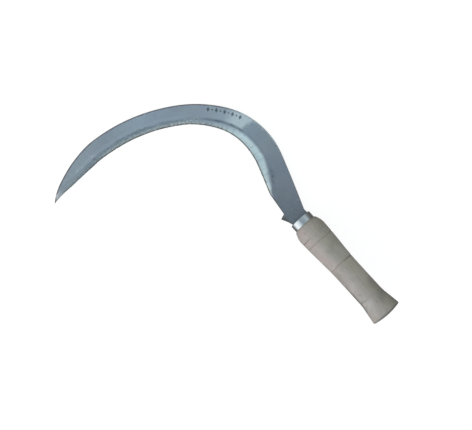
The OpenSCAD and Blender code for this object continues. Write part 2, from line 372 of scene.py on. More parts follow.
    # a slightly hollow face that rolls over into the flat
    fall = 0.5 * ((1 - q) + np.sqrt((1 - q) ** 2 + 0.11 ** 2))
    fall = fall + 0.05 * np.sin(math.pi * np.clip(q, 0, 1)) * ease(ramp(b_w, 4.5, 8.5))
    drop_z = drop * np.clip(fall, 0, 1.0) * grind
    # the fuller line where the grinding meets the flat
    run = np.maximum(bump(S_t, 48, 15) * (0.72 + 0.55 * noise3(S_t / 2.6, E / 2.2, seed=6)), 0.22 * ramp(S_t, 45, 60)) + 0.95 * ease(ramp(S_t, 114, 123))
    run = run * (1 - 0.8 * ease(ramp(S_t, 160, 184))) * (1 + 0.22 * noise3(S_t / 5.0, E / 4.0, seed=5))
    far_line = ease(ramp(S_t, 112, 124))
    heel_line = bump(S_t, 47, 18)
    far_edge = ease(ramp(S_t, 128, 142))
    line = 0.12 * np.exp(-((E - b_w * 1.04 - 0.5 - 0.25 * far_line - 1.7 * heel_line) / (1.15 + 0.30 * far_line + 0.5 * heel_line + 0.65 * far_edge * (E < b_w * 1.04 + 0.75))) ** 2) * run * grind
    # hammer dents along the thinned edge
    d1, d2, own = cells(S_t / 3.1, E / 2.6, seed=7, jitter=0.9)
    dent = (1 - ease(d1 / 0.62)) * (0.5 + 0.8 * own)
    strip = ease(ramp(S_t, 135, 190)) * (1 - ease((E - strip_width(S_t) + 0.7) / 1.3)) * ramp(E, 0.0, 0.9)
    peen = strip * body
    dents = 0.13 * dent * peen + 0.03 * peen * fbm(S_t / 1.4, E / 1.2, seed=15, octaves=2)
    # broad hammer flats over the whole plate
    g1, g2, gown = cells(X / 12.0, Y / 12.0, seed=21, jitter=0.85)
    waves = 0.050 * fbm(X / 26.0, Y / 26.0, seed=3, octaves=2) + 0.016 * (1 - ease(g1 / 0.75)) * (gown - 0.3)
    waves += 0.006 * fbm(X / 5.0, Y / 5.0, seed=4, octaves=3)
    waves = waves * (0.35 + 0.65 * ramp(S_t, 4, 25)) * ramp(E, 0, 1.5)
    # the row of punched lozenges
    punched = marks(S_t, v_top)
    Zt = T_t - drop_z - line - dents + waves - 0.22 * punched
    # corners
    rc = np.minimum(r0, 0.45 * T_t)
    va = np.clip(v_top / np.maximum(a * 1.0, 1e-3), 0, r0) * (rc / r0)
    Zt = Zt - (rc - np.sqrt(np.clip(rc * rc - (rc - va) ** 2, 0, None)))
    # a little hammered spread along the spine's corner
    Zt = Zt + 0.10 * np.exp(-((v_top - 0.9) / 0.55) ** 2) * ramp(noise3(S_t / 6.0, 0 * S_t, seed=12), 0.1, 0.9) * body
    square_edge = (1 - grind) * (rc - np.sqrt(np.clip(rc * rc - np.clip(rc - E, 0, None) ** 2, 0, None)))
    Zt = Zt - square_edge
    # ---- underside ----
    Eb = W_b - v_bot
    Xb, Yb = flat_xy(v_bot)
    rb = np.minimum(r0, 0.45 * T_b)
    vb = np.clip(v_bot / np.maximum(np.minimum(1, w * 0.4 / c2[-1])[:, None], 1e-3), 0, r0) * (rb / r0)
    Zb = rb - np.sqrt(np.clip(rb * rb - (rb - vb) ** 2, 0, None))
    Zb = Zb + (1 - ease(ramp(S_b, HEEL_LEN - 9, HEEL_LEN + 8))) * (rb - np.sqrt(np.clip(rb * rb - np.clip(rb - Eb, 0, None) ** 2, 0, None)))
    bodyb = ramp(S_b, 6, 30) * ramp(SPINE_S - S_b, 0, 10)
    e1, e2_, eown = cells(S_b / 3.4, Eb / 2.8, seed=17, jitter=0.9)
    stripb = ease(ramp(S_b, 120, 165)) * (1 - ease((Eb - 4.6) / 1.7)) * ramp(Eb, 0.0, 0.9) * bodyb
    Zb = Zb + 0.05 * (1 - ease(e1 / 0.62)) * stripb + 0.012 * (1 + fbm(Xb / 9.0, Yb / 9.0, seed=23, octaves=3)) * bodyb
    Zt = np.maximum(Zt, 0.12)
    # the spur is a little thinner and droops; the point is drawn down to the underside
    droop = -0.9 * ease(ramp(v_top, 20.5, 28.0)) * bump(S_t, -1.0, 6.0)
    droopb = -0.9 * ease(ramp(v_bot, 20.5, 28.0)) * bump(S_b, -1.0, 6.0)
    thin = 0.6 * ease(ramp(v_top, 21.5, 28.0)) * bump(S_t, -1.0, 6.0)
    Zt, Zb = Zt + mid + droop - thin, Zb + mid + droopb

    # ---- rings: top from spine to edge, then underside from edge to spine ----
    V = np.concatenate([v_top, v_bot[:, ::-1]], 1)
    Z = np.concatenate([Zt, Zb[:, ::-1]], 1)
    FX, FY = flat_xy(V)
    # side faces are left as single quads; nicks along the cutting edge
    Ea = w[:, None] - V
    S2 = np.repeat(s[:, None], V.shape[1], 1)
    rough_edge = (0.10 * fbm(S2 / 1.9, 0 * S2, seed=41, octaves=3) + 0.16 * ramp(noise3(S2 / 5.3, 0 * S2, seed=43), 0.45, 1.0)
                  + 0.45 * sum(d * bump(S2, c, h) for c, h, d in NICKS))
    rough_edge = np.clip(rough_edge, -0.05, 0.7) * ramp(S2, 28, 40) * ramp(SPINE_S - S2, 3, 12)
    pull = rough_edge * (1 - ease(Ea / 2.2))
    FX, FY = FX - dx[:, None] * pull, FY - dy[:, None] * pull
    # and a little unevenness down the spine
    spine_r = (0.10 * fbm(S2 / 16.0, 0 * S2, seed=51, octaves=3)) * (1 - ease(V / 3.0)) * ramp(S2, 4, 20) * ramp(SPINE_S - S2, 2, 12)
    FX, FY = FX + dx[:, None] * spine_r, FY + dy[:, None] * spine_r
    bx, by, bz = bend(FX, FY, Z)
    verts = np.stack([bx, by, bz], -1).reshape(-1, 3)
    m, n = V.shape
    faces = grid_faces(m, n)
    # both ends closed with a fan round a middle point
    caps = []
    for ring in (0, m - 1):
        c = verts[ring * n:(ring + 1) * n].mean(0)
        caps.append(c)
        ci = m * n + (0 if ring == 0 else 1)
        for k_ in range(n):
            faces.append((ring * n + k_, ring * n + (k_ + 1) % n, ci))
    verts = np.concatenate([verts, np.array(caps)])

    # ---- what the material needs to know, point by point ----
    slow = np.maximum(ease(ramp(S_t, 108, 128)), 0.75 * bump(S_t, 42, 24))
    fleck = np.zeros_like(S_t)
    for c, fv, hs, hv, f in FLECKS:
        d = np.hypot((S_t - c) / hs, (v_top - fv) / hv) + 0.42 * fbm(S_t / 1.1, v_top / 0.9, seed=131, octaves=2)
        fleck = np.maximum(fleck, f * (1 - ease((d - 0.45) / 0.55)))
    spot = np.zeros_like(S_t)
    for c, fv, hs, hv, f in SPOTS:
        d = np.hypot((S_t - c) / hs, (v_top - fv) / hv) + 0.35 * fbm(S_t / 1.6, v_top / 1.4, seed=133, octaves=2)
        spot = np.maximum(spot, f * (1 - ease((d - 0.3) / 0.7)))

    def both(top, bottom):
        return np.concatenate([np.concatenate([top, bottom[:, ::-1]], 1).reshape(-1), [0.0, 0.0]])

    attributes = {
        "s": np.concatenate([S2.reshape(-1), [SPINE_S, -90.0]]) * MM,
        "v": np.concatenate([V.reshape(-1), [0.0, 5.0]]) * MM,
        "e": np.concatenate([Ea.reshape(-1), [0.0, 5.0]]) * MM,
        "top": both(np.ones_like(Zt), np.zeros_like(Zb)),
        "ground": both(grind * (1 - ease(1e-9 + (E - b_w * (0.66 - 0.52 * slow + 0.06 * noise3(S_t / 4, 0 * S_t, seed=61))) / ((0.34 + 0.50 * slow) * b_w + 0.25))) ** (1 + 0.9 * ease(ramp(S_t, 127, 141))),
                       0.7 * ease(ramp(S_b, 20, 37)) * (1 - ease((Eb - 2.2 - 0.8 * noise3(S_b / 6, 0 * S_b, seed=63)) / 1.2))),
        "valley_shade": both(line / 0.12, 0 * Zb),
        "peen": both(peen, stripb),
        "dent": both(dent * peen, 0 * Zb),
        "mark": both(punched, 0 * Zb),
        "fleck": both(fleck, 0 * Zb),
        "plate": both(ease((E - b_w * 0.98 - 0.2) / 1.3), np.ones_like(Zb)),
        "spot": both(spot, 0 * Zb),
        "neck": both(1 - ramp(S_t, 0, 52), 1 - ramp(S_b, 0, 52)),
        "tang": np.concatenate([np.repeat(tang[:, None], n, 1).reshape(-1).astype(float), [0.0, 1.0]]),
    }
    return add_mesh("sickle_blade", verts, faces, attributes, sharp=50)


# the ground band: its width along the blade
def bevel_width(S, X, Y):
    w = np.interp(S, [0, 27, 34, 39, 45, 53, 62, 72, 86, 100, 115, 130, 145, 160, 175, 190, 210, 300, 350, 400],
                  [0.5, 1.6, 4.2, 5.9, 7.5, 8.9, 9.9, 10.3, 10.1, 9.8, 9.1, 8.3, 7.4, 6.3, 5.4, 5.0, 5.0, 4.9, 4.6, 4.2])
    return w + 0.22 * fbm(S / 17.0, 0 * S, seed=71, octaves=2) + 0.5 * noise3(S / 8.0, 0 * S, seed=72) * ramp(S, 150, 185)


def strip_width(S):
    """How far in from the edge the hammer marks reach."""
    w = np.interp(S, [130, 160, 185, 205, 280, 300, 315, 330, 345, 360, 378, 400], [3.0, 4.6, 5.6, 6.5, 6.7, 6.1, 5.9, 4.4, 3.8, 2.4, 1.3, 0.6])
    return w + 0.9 * noise3(S / 7.0, 0 * S, seed=9) + 0.5 * noise3(S / 2.6, 0 * S, seed=10)


# a row of small punched lozenges near the spine, in place of any lettering
MARK_S0, MARK_S1, MARK_V = 127.0, 170.0, 5.2
MARKS = [MARK_S0 + 2.3 + 4.8 * i for i in range(9)]


def marks(S, V):
    out = np.zeros_like(S)
    for i, c in enumerate(MARKS):
        hs, hv = (2.0, 3.1) if i % 2 == 0 else (1.3, 1.4)
        d = np.abs(S - c) / hs + np.abs(V - MARK_V) / hv
        out = np.maximum(out, 1 - ease((d - 0.72) / 0.42))
    return out


# where the surface has been rubbed bright, and where it has spotted: along, across, half lengths, how much
FLECKS = [(183.6, 16.2, 1.3, 0.9, 0.8), (186.8, 17.6, 1.5, 0.9, 0.9), (180.5, 14.6, 1.6, 0.7, 0.5), (317.0, 12.2, 1.5, 1.3, 0.8),
          (313.8, 14.0, 1.4, 0.9, 0.5), (319.5, 10.2, 1.2, 0.9, 0.4), (341.5, 9.6, 3.6, 0.9, 0.6), (334.5, 11.6, 2.4, 0.8, 0.35),
          (251.0, 14.6, 2.6, 0.8, 0.35), (100.0, 2.2, 3.0, 0.8, 0.45), (112.5, 1.9, 3.6, 0.8, 0.5), (105.5, 3.4, 1.4, 0.8, 0.3),
          (378.5, 1.7, 3.6, 1.9, 0.9), (373.5, 2.6, 1.8, 1.3, 0.7), (12.0, 3.2, 0.8, 0.6, 0.6), (4.5, 12.8, 0.7, 0.6, 0.6), (44.0, 25.6, 2.4, 1.3, 0.6)]
SPOTS = [(77.0, 2.0, 1.9, 1.4, 0.55), (57.0, 1.2, 1.6, 0.8, 0.5), (93.0, 23.5, 2.2, 1.6, 0.35), (236.0, 3.0, 2.0, 1.2, 0.35), (318.0, 16.2, 3.0, 1.6, 0.4),
         (352.0, 4.0, 1.5, 1.0, 0.35), (33.0, 21.5, 2.2, 1.4, 0.35), (39.0, 19.2, 2.6, 1.2, 0.42), (46.0, 18.2, 2.6, 0.8, 0.28), (19.0, 24.5, 5.5, 2.2, 0.20), (70.5, 22.4, 1.6, 1.1, 0.3)]
NICKS = [(96.0, 0.9, 0.5), (171.0, 0.8, 0.8), (208.0, 1.2, 0.6), (233.5, 0.7, 0.9), (262.0, 1.0, 0.7), (287.0, 0.8, 0.8), (318.0, 1.1, 0.6), (343.0, 0.7, 0.7)]


# --------------------------------------------------------------------------
# ferrule: a rolled and butted ring, its mouth turned in a little
# --------------------------------------------------------------------------
def build_ferrule():
    ro, ri, e = FERRULE_D / 2, FERRULE_D / 2 - FERRULE_WALL, 0.45
    prof = []                                     # (t, r, outside)
    prof += [(t, ri, 0.0) for t in np.linspace(FERRULE_LEN, e, 10)]
    rr = FERRULE_WALL / 2 - 0.06
    for a in np.linspace(180, 90, 7)[1:]:
        prof.append((0.06 - 0.06 * math.sin(math.radians(a)) + e * (1 - math.sin(math.radians(a))), ri + rr + rr * math.cos(math.radians(a)), 0.4))
    for a in np.linspace(90, 0, 9)[1:]:
        prof.append((0.62 - 0.62 * math.sin(math.radians(a)), ro - 0.55 + 0.55 * math.cos(math.radians(a)), 1.0))
    prof += [(t, ro, 1.0) for t in np.linspace(0.85, FERRULE_LEN - 0.75, 36)]
    for a in np.linspace(0, 90, 7)[1:]:
        prof.append((FERRULE_LEN - 0.42 + 0.42 * math.sin(math.radians(a)), ro - 0.42 + 0.42 * math.cos(math.radians(a)), 1.0))
    prof.append((FERRULE_LEN, ri + 0.25, 0.3))
    prof = np.array(prof)
    n = 288
    th = np.linspace(0, 2 * math.pi, n, endpoint=False)
    T, TH = np.meshgrid(prof[:, 0], th, indexing="ij")
    R = np.repeat(prof[:, 1][:, None], n, 1)
    OUT = np.repeat(prof[:, 2][:, None], n, 1)
    cx, sy = np.cos(TH), np.sin(TH)
    # slightly out of round, two soft dents, a shallow rolled bead, and the butted seam underneath
    dent = 0.0
    for t0, a0, dt, da, depth in ((2.6, 2.05, 2.0, 0.16, 0.10), (5.6, 0.75, 1.6, 0.12, 0.07), (4.2, -0.5, 2.4, 0.2, 0.08), (6.2, 2.75, 1.2, 0.10, 0.06), (3.0, 4.0, 2.0, 0.2, 0.1)):
        d = np.angle(np.exp(1j * (TH - a0)))
        dent = dent + depth * np.exp(-((T - t0) / dt) ** 2 - (d / da) ** 2)
    seam_d = np.abs(np.angle(np.exp(1j * (TH - SEAM)))) * ro
    seam = np.exp(-(seam_d / 0.22) ** 2)
    R = R - 0.02 - dent * OUT - 0.20 * seam * np.where(OUT > 0.3, 1.0, 0.0) + 0.015 * fbm(cx * 5, sy * 5, T / 3.0, seed=81) * OUT
    R = R - 0.05 * (1 + np.cos(2 * TH + 0.6)) / 2
    R = R - 0.055 * OUT * np.exp(-((T - 6.7) / 0.32) ** 2) - 0.04 * OUT * np.exp(-((T - 1.45) / 0.3) ** 2)
    T2 = T + 0.05 * noise3(cx * 3, sy * 3, T * 0, seed=82) * (OUT > 0.9) * bump(T, FERRULE_LEN, 2.0)
    T2 = np.clip(T2, 0.0, FERRULE_LEN)
    P = on_handle(T2, R * cx, R * sy).reshape(-1, 3)
    m = len(prof)
    faces = grid_faces(m, n)
    for k in range(n):                            # back to the first ring
        k2 = (k + 1) % n
        faces.append(((m - 1) * n + k, (m - 1) * n + k2, k2, k))
    attributes = {"t": T.reshape(-1) * MM, "arc": (TH * ro).reshape(-1) * MM, "out": OUT.reshape(-1), "seam": seam.reshape(-1)}
    return add_mesh("plated_ferrule", P, faces, attributes, sharp=60)


SEAM = math.radians(-90 - 14)


# --------------------------------------------------------------------------
# handle
# --------------------------------------------------------------------------
def outline(t):
    seat = FERRULE_LEN + GAP
    step = FERRULE_D / 2 + 0.6
    a = step + (SHOULDER_D / 2 - step) * np.sin(math.pi / 2 * ramp(t, seat, 20)) ** 0.8
    u = ramp(t, 20, 74)
    b = SHOULDER_D / 2 + (WAIST_D / 2 - SHOULDER_D / 2) * (0.45 * u + 0.55 * ease(u))
    c = WAIST_D / 2 + (BUTT_D / 2 - WAIST_D / 2) * (0.1 * ramp(t, GRIP_LEN - 26, GRIP_LEN - 18) + 0.9 * ramp(t, GRIP_LEN - 20, GRIP_LEN) ** 0.95)
    return np.where(t < 20, a, np.where(t < GRIP_LEN - 26, b, c))


def build_handle():
    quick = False
    n = 112 if quick else 232
    nose_r = FERRULE_D / 2 - FERRULE_WALL - GAP
    seat = FERRULE_LEN + GAP
    rim = 1.15
    th = np.linspace(0, 2 * math.pi, n, endpoint=False)
    # ---- outer skin: nose, step, grip, rim, domed butt ----
    prof = []                                     # (t, r, kind) kind 0 nose, 1 grip, 2 butt
    for r in np.linspace(6.6, nose_r - 0.6, 7):
        prof.append((NOSE_IN, r, 0))
    prof += [(NOSE_IN + 0.15, nose_r - 0.22, 0), (NOSE_IN + 0.5, nose_r, 0), (6.0, nose_r, 0), (seat - 0.02, nose_r, 0)]
    step = FERRULE_D / 2 + 0.6
    prof += [(seat, nose_r + 0.3, 0), (seat, FERRULE_D / 2 - 0.4, 1), (seat + 0.02, FERRULE_D / 2 + 0.15, 1), (seat + 0.22, step - 0.05, 1)]
    dt = 1.0 if quick else 0.5
    ts = list(np.arange(seat + 0.5, GRIP_LEN - 2.6, dt))
    for g in GROOVES:                             # finer rings over each groove
        ts = [t for t in ts if abs(t - g) > 1.2] + list(g + np.array([-1.1, -0.85, -0.65, -0.48, -0.32, -0.16, 0, 0.16, 0.32, 0.48, 0.65, 0.85, 1.1]))
    ts = sorted(ts)
    prof += [(t, float(outline(np.array(t))), 1) for t in ts]
    r_end = float(outline(np.array(GRIP_LEN - 2.3)))
    prof.append((GRIP_LEN - 2.3, r_end, 1))
    for a in np.linspace(0, 90, 12)[1:]:
        a = math.radians(a)
        r_here = float(outline(np.array(GRIP_LEN - rim + rim * math.sin(a) * 0.98)))
        prof.append((GRIP_LEN - rim + rim * math.sin(a), r_here - rim * (1 - math.cos(a)) - 0.05, 1 if a < 0.9 else 2))
    flat_r = prof[-1][1]
    for u in np.linspace(1, 0, 30 if not quick else 14)[1:-1]:
        prof.append((GRIP_LEN + BUTT_DOME * (1 - u * u), u * flat_r, 2))
    prof.append((GRIP_LEN + BUTT_DOME, 0.02, 2))
    prof = np.array(prof)
    T, TH = np.meshgrid(prof[:, 0], th, indexing="ij")
    R = np.repeat(prof[:, 1][:, None], n, 1)
    K = np.repeat(prof[:, 2][:, None], n, 1)
    cx, sy = np.cos(TH), np.sin(TH)
    Y, Z = R * cx, R * sy
    grip = (K == 1).astype(float) * ramp(T, seat + 0.1, seat + 2.5)
    butt = (K == 2).astype(float)
    near_groove = np.zeros_like(T)
    grooved = np.zeros_like(T)
    for i, g in enumerate(GROOVES):
        # each groove runs a little out of true and dies away in places
        wander = (0.16, 0.22, 0.42, 0.16, 0.16)[i] * noise3(cx * 1.3, sy * 1.3, 0 * T + i, seed=90 + i)
        wide = (0.55, 0.80, 0.85, 0.55, 0.55)[i]
        at_angle, half, least = GROOVE_WORN[i]
        keep = least + (1 - least) * ease(1.4 - np.abs(np.angle(np.exp(1j * (TH - math.radians(at_angle))))) / math.radians(half))
        depth = (0.42, 0.44, 0.55, 0.42, 0.42)[i] * keep * (0.85 + 0.30 * noise3(cx * 1.7, sy * 1.7, 0 * T + 3 * i, seed=95 + i))
        d = np.abs(T - g - wander)
        cut = np.clip(1 - d / wide, 0, 1) ** 0.9
        lip = np.exp(-((d - wide - 0.25) / 0.25) ** 2)
        grooved = grooved + depth * cut - 0.03 * lip * keep
        near_groove = np.maximum(near_groove, np.exp(-(d / (wide * 0.95)) ** 2) * depth / 0.6)
    # grain in relief: the softer early wood stands lower where it is weathered
    ring = wood_rings(T, Y, Z)
    soft_wood = 0.5 + 0.5 * np.sin(ring * 2 * math.pi)
    relief = 0.055 * (soft_wood - 0.5) + 0.05 * fbm(cx * 9, sy * 9, T / 22.0, seed=101, octaves=3)
    relief += 0.022 * fbm(cx * 34, sy * 34, T / 9.0, seed=104, octaves=2)
    # lathe chatter, dents and knocks
    relief += 0.012 * np.sin(T * 2 * math.pi / 1.9 + 2 * noise3(cx, sy, T / 14, seed=106))
    knocks = 0.0
    for t0, a0, lt, la, depth in KNOCKS:
        d = np.angle(np.exp(1j * (TH - math.radians(a0)))) * 15
        knocks = knocks + depth * np.exp(-((T - t0) / lt) ** 2 - (d / la) ** 2)
    # drying checks: fine splits that run in from the butt and out of the shoulder
    check = np.zeros_like(T)
    for a0, t0, t1, half, depth in CHECKS:
        centre = math.radians(a0) + 0.02 * noise3(T / 7.0, 0 * T, seed=int(a0) % 97) + 0.004 * (T - t0)
        d = np.abs(np.angle(np.exp(1j * (TH - centre)))) * np.maximum(R, 2.0)
        along = ease(ramp(T, t0, t0 + 6)) * (1 - ease(ramp(T, t1 - 6, t1))) if t1 < GRIP_LEN else ease(ramp(T, t0, t0 + 9))
        check = np.maximum(check, np.exp(-(d / half) ** 2) * depth * along)
    # rim chips and flattening of the butt's edge
    rim_zone = bump(T, GRIP_LEN - 0.4, 2.6) * (K >= 1)
    chips = 0.0
    for a0, la, depth in ((36, 2.2, 0.35), (118, 1.5, 0.35), (171, 2.0, 0.2), (214, 1.7, 0.7), (262, 2.0, 0.5), (318, 1.4, 0.6), (70, 1.0, 0.3)):
        d = np.angle(np.exp(1j * (TH - math.radians(a0)))) * 17.5
        chips = chips + depth * np.exp(-(d / la) ** 2)
    R2 = R - grooved * (K == 1) + relief * grip - knocks * grip - check * 0.55 * (K >= 1) * (K < 2)
    R2 = R2 - rim_zone * (chips * (0.7 + 0.5 * noise3(cx * 12, sy * 12, T, seed=111)) + 0.12 * (1 + noise3(cx * 4, sy * 4, T / 5, seed=112)))
    # a slightly oval, hand-turned section
    R2 = R2 - 0.10 * (1 + np.cos(2 * TH + 1.1)) / 2 * grip
    # the butt: end grain stands in faint rings, with radial checks and saw marks
    T2 = T.copy()
    star = np.zeros_like(T)
    for a0, r0, r1, half, depth in STARS:
        yy, zz = Y * math.cos(math.radians(a0)) + Z * math.sin(math.radians(a0)), -Y * math.sin(math.radians(a0)) + Z * math.cos(math.radians(a0))
        zz = zz + 0.5 * noise3(yy / 4.0, 0 * yy, seed=int(a0) + 5)
        star = np.maximum(star, np.exp(-(zz / half) ** 2) * ease(ramp(yy, r0, r0 + 2)) * (1 - ease(ramp(yy, r1 - 3, r1))) * depth)
    T2 = T2 + butt * (0.05 * (soft_wood - 0.5) + 0.05 * fbm(Y / 2.2, Z / 2.2, seed=114, octaves=3) - 0.6 * star)
    T2 = T2 - butt * 0.04 * (1 + np.sin((Y * 0.8 + Z * 0.6) * 2 * math.pi / 1.7 + noise3(Y / 5, Z / 5, seed=118)))
    P = [on_handle(T2, R2 * cx, R2 * sy).reshape(-1, 3)]
    m_out = len(prof)

    # ---- the bore with the tang's slot across it ----
    depth_t = np.concatenate([[NOSE_IN, NOSE_IN + 0.25], np.linspace(8, NOSE_IN + TANG_LEN, 20), [PILOT_LEN + 3.6, PILOT_LEN + 4.0]])
    half_w = np.interp(depth_t, [0, NOSE_IN + 6, NOSE_IN + TANG_LEN - 3, NOSE_IN + TANG_LEN, 200], [6.05, 6.05, 2.55, 0.7, 0.0])
    half_h = TANG_T / 2 + GAP
    th_in = th.copy()
    for c in (math.atan2(half_h, 6.05), math.pi - math.atan2(half_h, 6.05)):
        for cc in (c, 2 * math.pi - c):
            th_in[np.argmin(np.abs(th_in - cc))] = cc
    ci, si = np.cos(th_in), np.sin(th_in)
    rings = []
    for t, w in zip(depth_t, half_w):
        rect = np.minimum(w / np.maximum(np.abs(ci), 1e-6), half_h / np.maximum(np.abs(si), 1e-6)) if w > 0 else 0 * ci
        r = np.maximum(PILOT_D / 2, rect)
        if t >= PILOT_LEN + 3.9:
            r = r * 0.92
        rings.append(on_handle(t + 0 * r, r * ci, r * si))
    P.append(np.concatenate(rings))
    m_in = len(rings)
    P.append(on_handle(np.array([PILOT_LEN + 4.0, GRIP_LEN + BUTT_DOME]), np.zeros(2), np.zeros(2)))
    verts = np.concatenate(P)
    faces = grid_faces(m_out, n)
    base = m_out * n
    faces += [tuple(reversed(f)) for f in grid_faces(m_in, n, first=base)]
    for k in range(n):
        k2 = (k + 1) % n
        faces.append((k, base + k, base + k2, k2))                                    # nose face
        faces.append((base + (m_in - 1) * n + k, base + (m_in - 1) * n + k2, base + m_in * n))   # bottom of the bore
        faces.append(((m_out - 1) * n + k2, (m_out - 1) * n + k, base + m_in * n + 1))
    extra = m_in * n + 2

    def pad(a, v=0.0):
        return np.concatenate([a.reshape(-1), np.full(extra, v)])

    def blotted(places):
        total = np.zeros_like(T)
        for t0, y0, lt, ly, side, f in places:
            lean = T + 0.5 * Y
            wob = 0.45 * fbm(T / 6.0, Y / 5.0, Z / 5.0, seed=141, octaves=3)
            d = np.hypot((lean - t0 - 0.5 * y0) / lt, (Y - y0) / ly) + wob
            total = np.maximum(total, f * (1 - ease((d - 0.25) / 0.85)) * (Z * side > -2.0))
        return total * (K == 1)

    inner_t = np.concatenate([np.repeat(depth_t, n), [PILOT_LEN + 4.0, GRIP_LEN + BUTT_DOME]])
    attributes = {
        "t": np.concatenate([T.reshape(-1), inner_t]) * MM,
        "hy": np.concatenate([Y.reshape(-1), np.zeros(extra)]) * MM,
        "hz": np.concatenate([Z.reshape(-1), np.zeros(extra)]) * MM,
        "ring": pad(ring),
        "soft": pad(soft_wood),
        "groove": pad(near_groove * (K == 1)),
        "crack": pad(np.clip(np.maximum(check / 0.5, butt * star * 1.6), 0, 1)),
        "butt": np.concatenate([butt.reshape(-1), np.zeros(extra - 1), [1.0]]),
        "chip": pad(np.clip(rim_zone * chips * 1.4, 0, 1)),
        "knock": pad(np.clip(knocks * grip * 3, 0, 1) if not np.isscalar(knocks) else 0 * T),
        "inside": np.concatenate([(K == 0).astype(float).reshape(-1), np.ones(extra - 1), [0.0]]),
        "shadow": pad(blotted(GRUBBY)),
        "pale": pad(blotted(WORN)),
    }
    return add_mesh("turned_handle", verts, faces, attributes, sharp=55)


def wood_rings(T, Y, Z):
    """Which growth ring a point lies in: the heart lies well outside the handle, and the trunk leans and sways a little."""
    cy = -31.0 + 0.05 * T + 1.6 * np.sin(T / 47.0)
    cz = -20.0 - 0.035 * T + 1.2 * np.sin(T / 36.0 + 1.0)
    r = np.hypot(Y - cy, Z - cz)
    r = r + 0.55 * fbm(Y / 14.0, Z / 14.0, T / 60.0, seed=121, octaves=2)
    return r / 2.45 + 0.25 * noise3(r / 6.0, 0 * r, seed=122)


# for each groove: the angle round the handle where it is deepest, how far it stays deep, and what is left where it is worn
GROOVE_WORN = [(170.0, 52.0, 0.14), (0.0, 60.0, 0.55), (15.0, 75.0, 0.70), (168.0, 66.0, 0.20), (195.0, 50.0, 0.16)]
# grubby and worn places: along, across, half lengths, which side, how much
GRUBBY = [(48.0, 1.5, 6.0, 5.0, 1, 0.55), (56.0, 4.5, 5.0, 4.5, 1, 0.22), (121.0, 7.0, 7.0, 8.5, 1, 0.75), (104.0, 9.5, 9.0, 6.0, 1, 0.45), (20.0, 10.0, 6.0, 6.0, 1, 0.35),
          (76.0, -11.5, 8.0, 4.0, 1, 0.40), (110.5, -11.2, 1.8, 1.6, 1, 0.85), (118.5, -12.2, 1.9, 1.8, 1, 1.0), (125.0, -11.2, 1.5, 1.4, 1, 0.8), (42.0, -2.0, 16.0, 6.0, -1, 0.5), (95.0, 3.0, 12.0, 8.0, -1, 0.6), (124.0, -8.0, 8.0, 7.0, -1, 0.5)]
WORN = [(41.0, -9.0, 5.0, 3.5, 1, 0.35), (92.0, -8.5, 7.0, 5.0, 1, 0.55), (117.5, -7.0, 2.2, 6.0, 1, 0.65), (63.0, -8.0, 3.0, 4.5, 1, 0.40), (127.5, -10.5, 5.5, 4.2, 1, 0.45),
        (70.0, 6.0, 10.0, 5.0, -1, 0.6), (24.0, -4.0, 7.0, 6.0, -1, 0.5)]
KNOCKS = [(47.0, 100.0, 2.2, 1.2, 0.22), (88.0, 62.0, 3.0, 0.8, 0.16), (104.0, 128.0, 1.6, 1.6, 0.20), (29.0, 55.0, 1.2, 1.8, 0.18),
          (58.0, 150.0, 4.0, 0.6, 0.15), (120.0, 88.0, 1.5, 1.2, 0.22), (16.0, 118.0, 1.6, 1.4, 0.18), (75.0, 200.0, 2.0, 2.0, 0.25),
          (98.0, 290.0, 2.6, 1.4, 0.25), (40.0, 250.0, 2.0, 1.0, 0.2)]
CHECKS = [(28.0, 130.0, 140.0, 0.20, 0.5), (196.0, 127.0, 140.0, 0.20, 0.5), (243.0, 112.0, 140.0, 0.26, 0.8), (335.0, 124.0, 140.0, 0.22, 0.55),
          (262.0, 12.0, 33.0, 0.20, 0.45), (222.0, 40.0, 74.0, 0.20, 0.45)]
STARS = [(28.0, 4.0, 18.0, 0.22, 0.7), (196.0, 5.0, 18.0, 0.22, 0.7), (243.0, 1.0, 18.0, 0.28, 1.0), (335.0, 6.0, 18.0, 0.22, 0.7), (110.0, 3.0, 9.0, 0.16, 0.5)]


